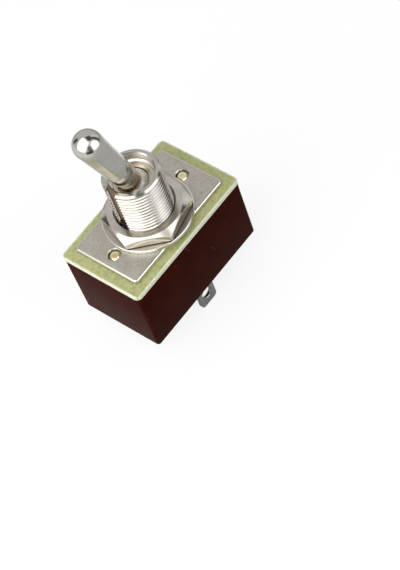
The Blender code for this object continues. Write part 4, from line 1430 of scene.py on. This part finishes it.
@dataclass(frozen=True)
class Card(Panel):
    """A grey card that polished metal shows as a band."""

    def build(self) -> None:
        """Makes the card."""
        mesh = Shape.sheet(*self.size()).to_mesh(self.name)
        material = bpy.data.materials.new(self.name)
        graph = Graph(material)
        cloth = graph.noise(graph.place(), 0.1, 2.0) * (0.2 * self.radiance) + 0.9 * self.radiance
        graph.end(graph.glow((1, 1, 1, 1), cloth))
        mesh.materials.append(material)
        card = self.hang(mesh)
        card.visible_shadow = False
        card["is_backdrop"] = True


@dataclass(frozen=True)
class Studio:
    """The floor, the soft lights, the world and the camera."""

    azimuth: float = -32.91
    elevation: float = 54.25
    roll: float = -22.67
    target: Point = (-2.15 * MM, -10.68 * MM, 4.39 * MM)
    distance: float = 0.430
    lens: float = 136.92
    sensor: float = 36.0
    clip: tuple[float, float] = (0.01, 20.0)
    floor_size: float = 6.0
    floor_colour: Colour = (0.86, 0.86, 0.86)
    floor_shade: float = 0.44
    floor_glow: float = 0.14
    floor_light: float = 0.82
    shadow_fade: tuple[float, float] = (60 * MM, 220 * MM)
    wall_fade: tuple[float, float] = (150 * MM, 900 * MM)
    glow_edge: tuple[float, float] = (-10 * MM, -90 * MM)
    bright_patch: tuple[float, float, float] = (28 * MM, 50 * MM, 36 * MM)
    wall: float = 0.7
    panels: tuple[Panel, ...] = (
        SoftBox("soft_box_left", -90, 47.5, 34, 43, 1.5, roll=-5),
        SoftBox("soft_box_right", 16, 18, 27.5, 37.5, 1.45, 0.3, True, 9.5),
        SoftBox("soft_box_side", -94, 6, 26, 9, 6.5, mirrored=False),
        Card("card_low", -40, 7, 22, 9.5, 0.05, 0.17), Card("card_camera", -31, 22, 13.5, 20, 0.2, 0.52),
        Card("card_ceiling", 62, 72, 16, 14, 0.08), Card("card_right", 60, 25, 7.5, 36, 0.07),
        Card("card_back", -161, 17, 9, 22, 0.10), Card("card_bright", 83, 20, 7, 26, 0.9))

    def build(self) -> None:
        """Makes the floor, the lights, the world and the camera."""
        self.make_camera()
        self.make_floor()
        self.make_world()
        for panel in self.panels:
            panel.build()
        bpy.context.scene.view_settings.view_transform = "Standard"

    def make_camera(self) -> None:
        """Stands the camera where it looks at the switch from above its -X -Y corner."""
        data = bpy.data.cameras.new("camera")
        data.lens = self.lens
        data.sensor_width = self.sensor
        data.clip_start, data.clip_end = self.clip
        camera = add_object("camera", data)
        camera.matrix_world = facing(self.azimuth, self.elevation, self.roll, self.distance, self.target)
        bpy.context.scene.camera = camera

    def make_floor(self) -> None:
        """Lays a pale floor that the camera sees as nearly white, with the switch's soft shadow."""
        shape = Shape.sheet(self.floor_size, self.floor_size).move(0, 0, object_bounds()[0].z)
        mesh = shape.to_mesh("floor")
        material = bpy.data.materials.new("floor_paper")
        graph = Graph(material)
        paper = graph.noise(graph.place(), 6 * MM, 3.0)
        pale = graph.mix(self.floor_colour, tuple(0.98 * c for c in self.floor_colour), paper)
        light = graph.node("LightPath")
        shown = light.out("Is Camera Ray").most(light.out("Is Transmission Ray"))
        x, y, _ = graph.axes(graph.place())
        centre_x, centre_y, patch = self.bright_patch
        bright = x.step(*self.glow_edge).most(hypot(x - centre_x, y - centre_y).step(1.4 * patch, patch))
        mirrored = light.out("Is Glossy Ray") * (bright * (1 - self.floor_glow) + self.floor_glow)
        matt = graph.node("BsdfDiffuse", {"Color": graph.mix((self.floor_shade,) * 3, pale, shown)})
        radius = hypot(x, y)
        sweep = graph.mix((1.0, 1.0, 1.0), (self.wall,) * 3, radius.step(*self.wall_fade))
        lit = shown * (radius.step(*self.shadow_fade) * (1 - self.floor_light) + self.floor_light)
        graph.end(graph.node("MixShader", {0: lit + mirrored, 1: matt, 2: graph.glow(sweep, 1.0)}))
        mesh.materials.append(material)
        add_object("floor", mesh)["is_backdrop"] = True

    def make_world(self) -> None:
        """Wraps the studio in plain grey walls."""
        world = bpy.data.worlds.new("studio")
        bpy.context.scene.world = world
        graph = Graph(world)
        graph.end(graph.glow((1, 1, 1, 1), self.wall, "Background"), "OutputWorld")


def main() -> None:
    """Builds the switch and its studio."""
    logging.basicConfig(level=logging.INFO, format="%(message)s")
    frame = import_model()
    palette = mix_palette(find_joint(frame, "lever_pivot")["pos_m"][2])
    Studio().build()
    for assembly in (Housing, Neck, Lever, Terminals, Works):
        assembly(frame, palette).build()


if __name__ == "__main__":
    main()
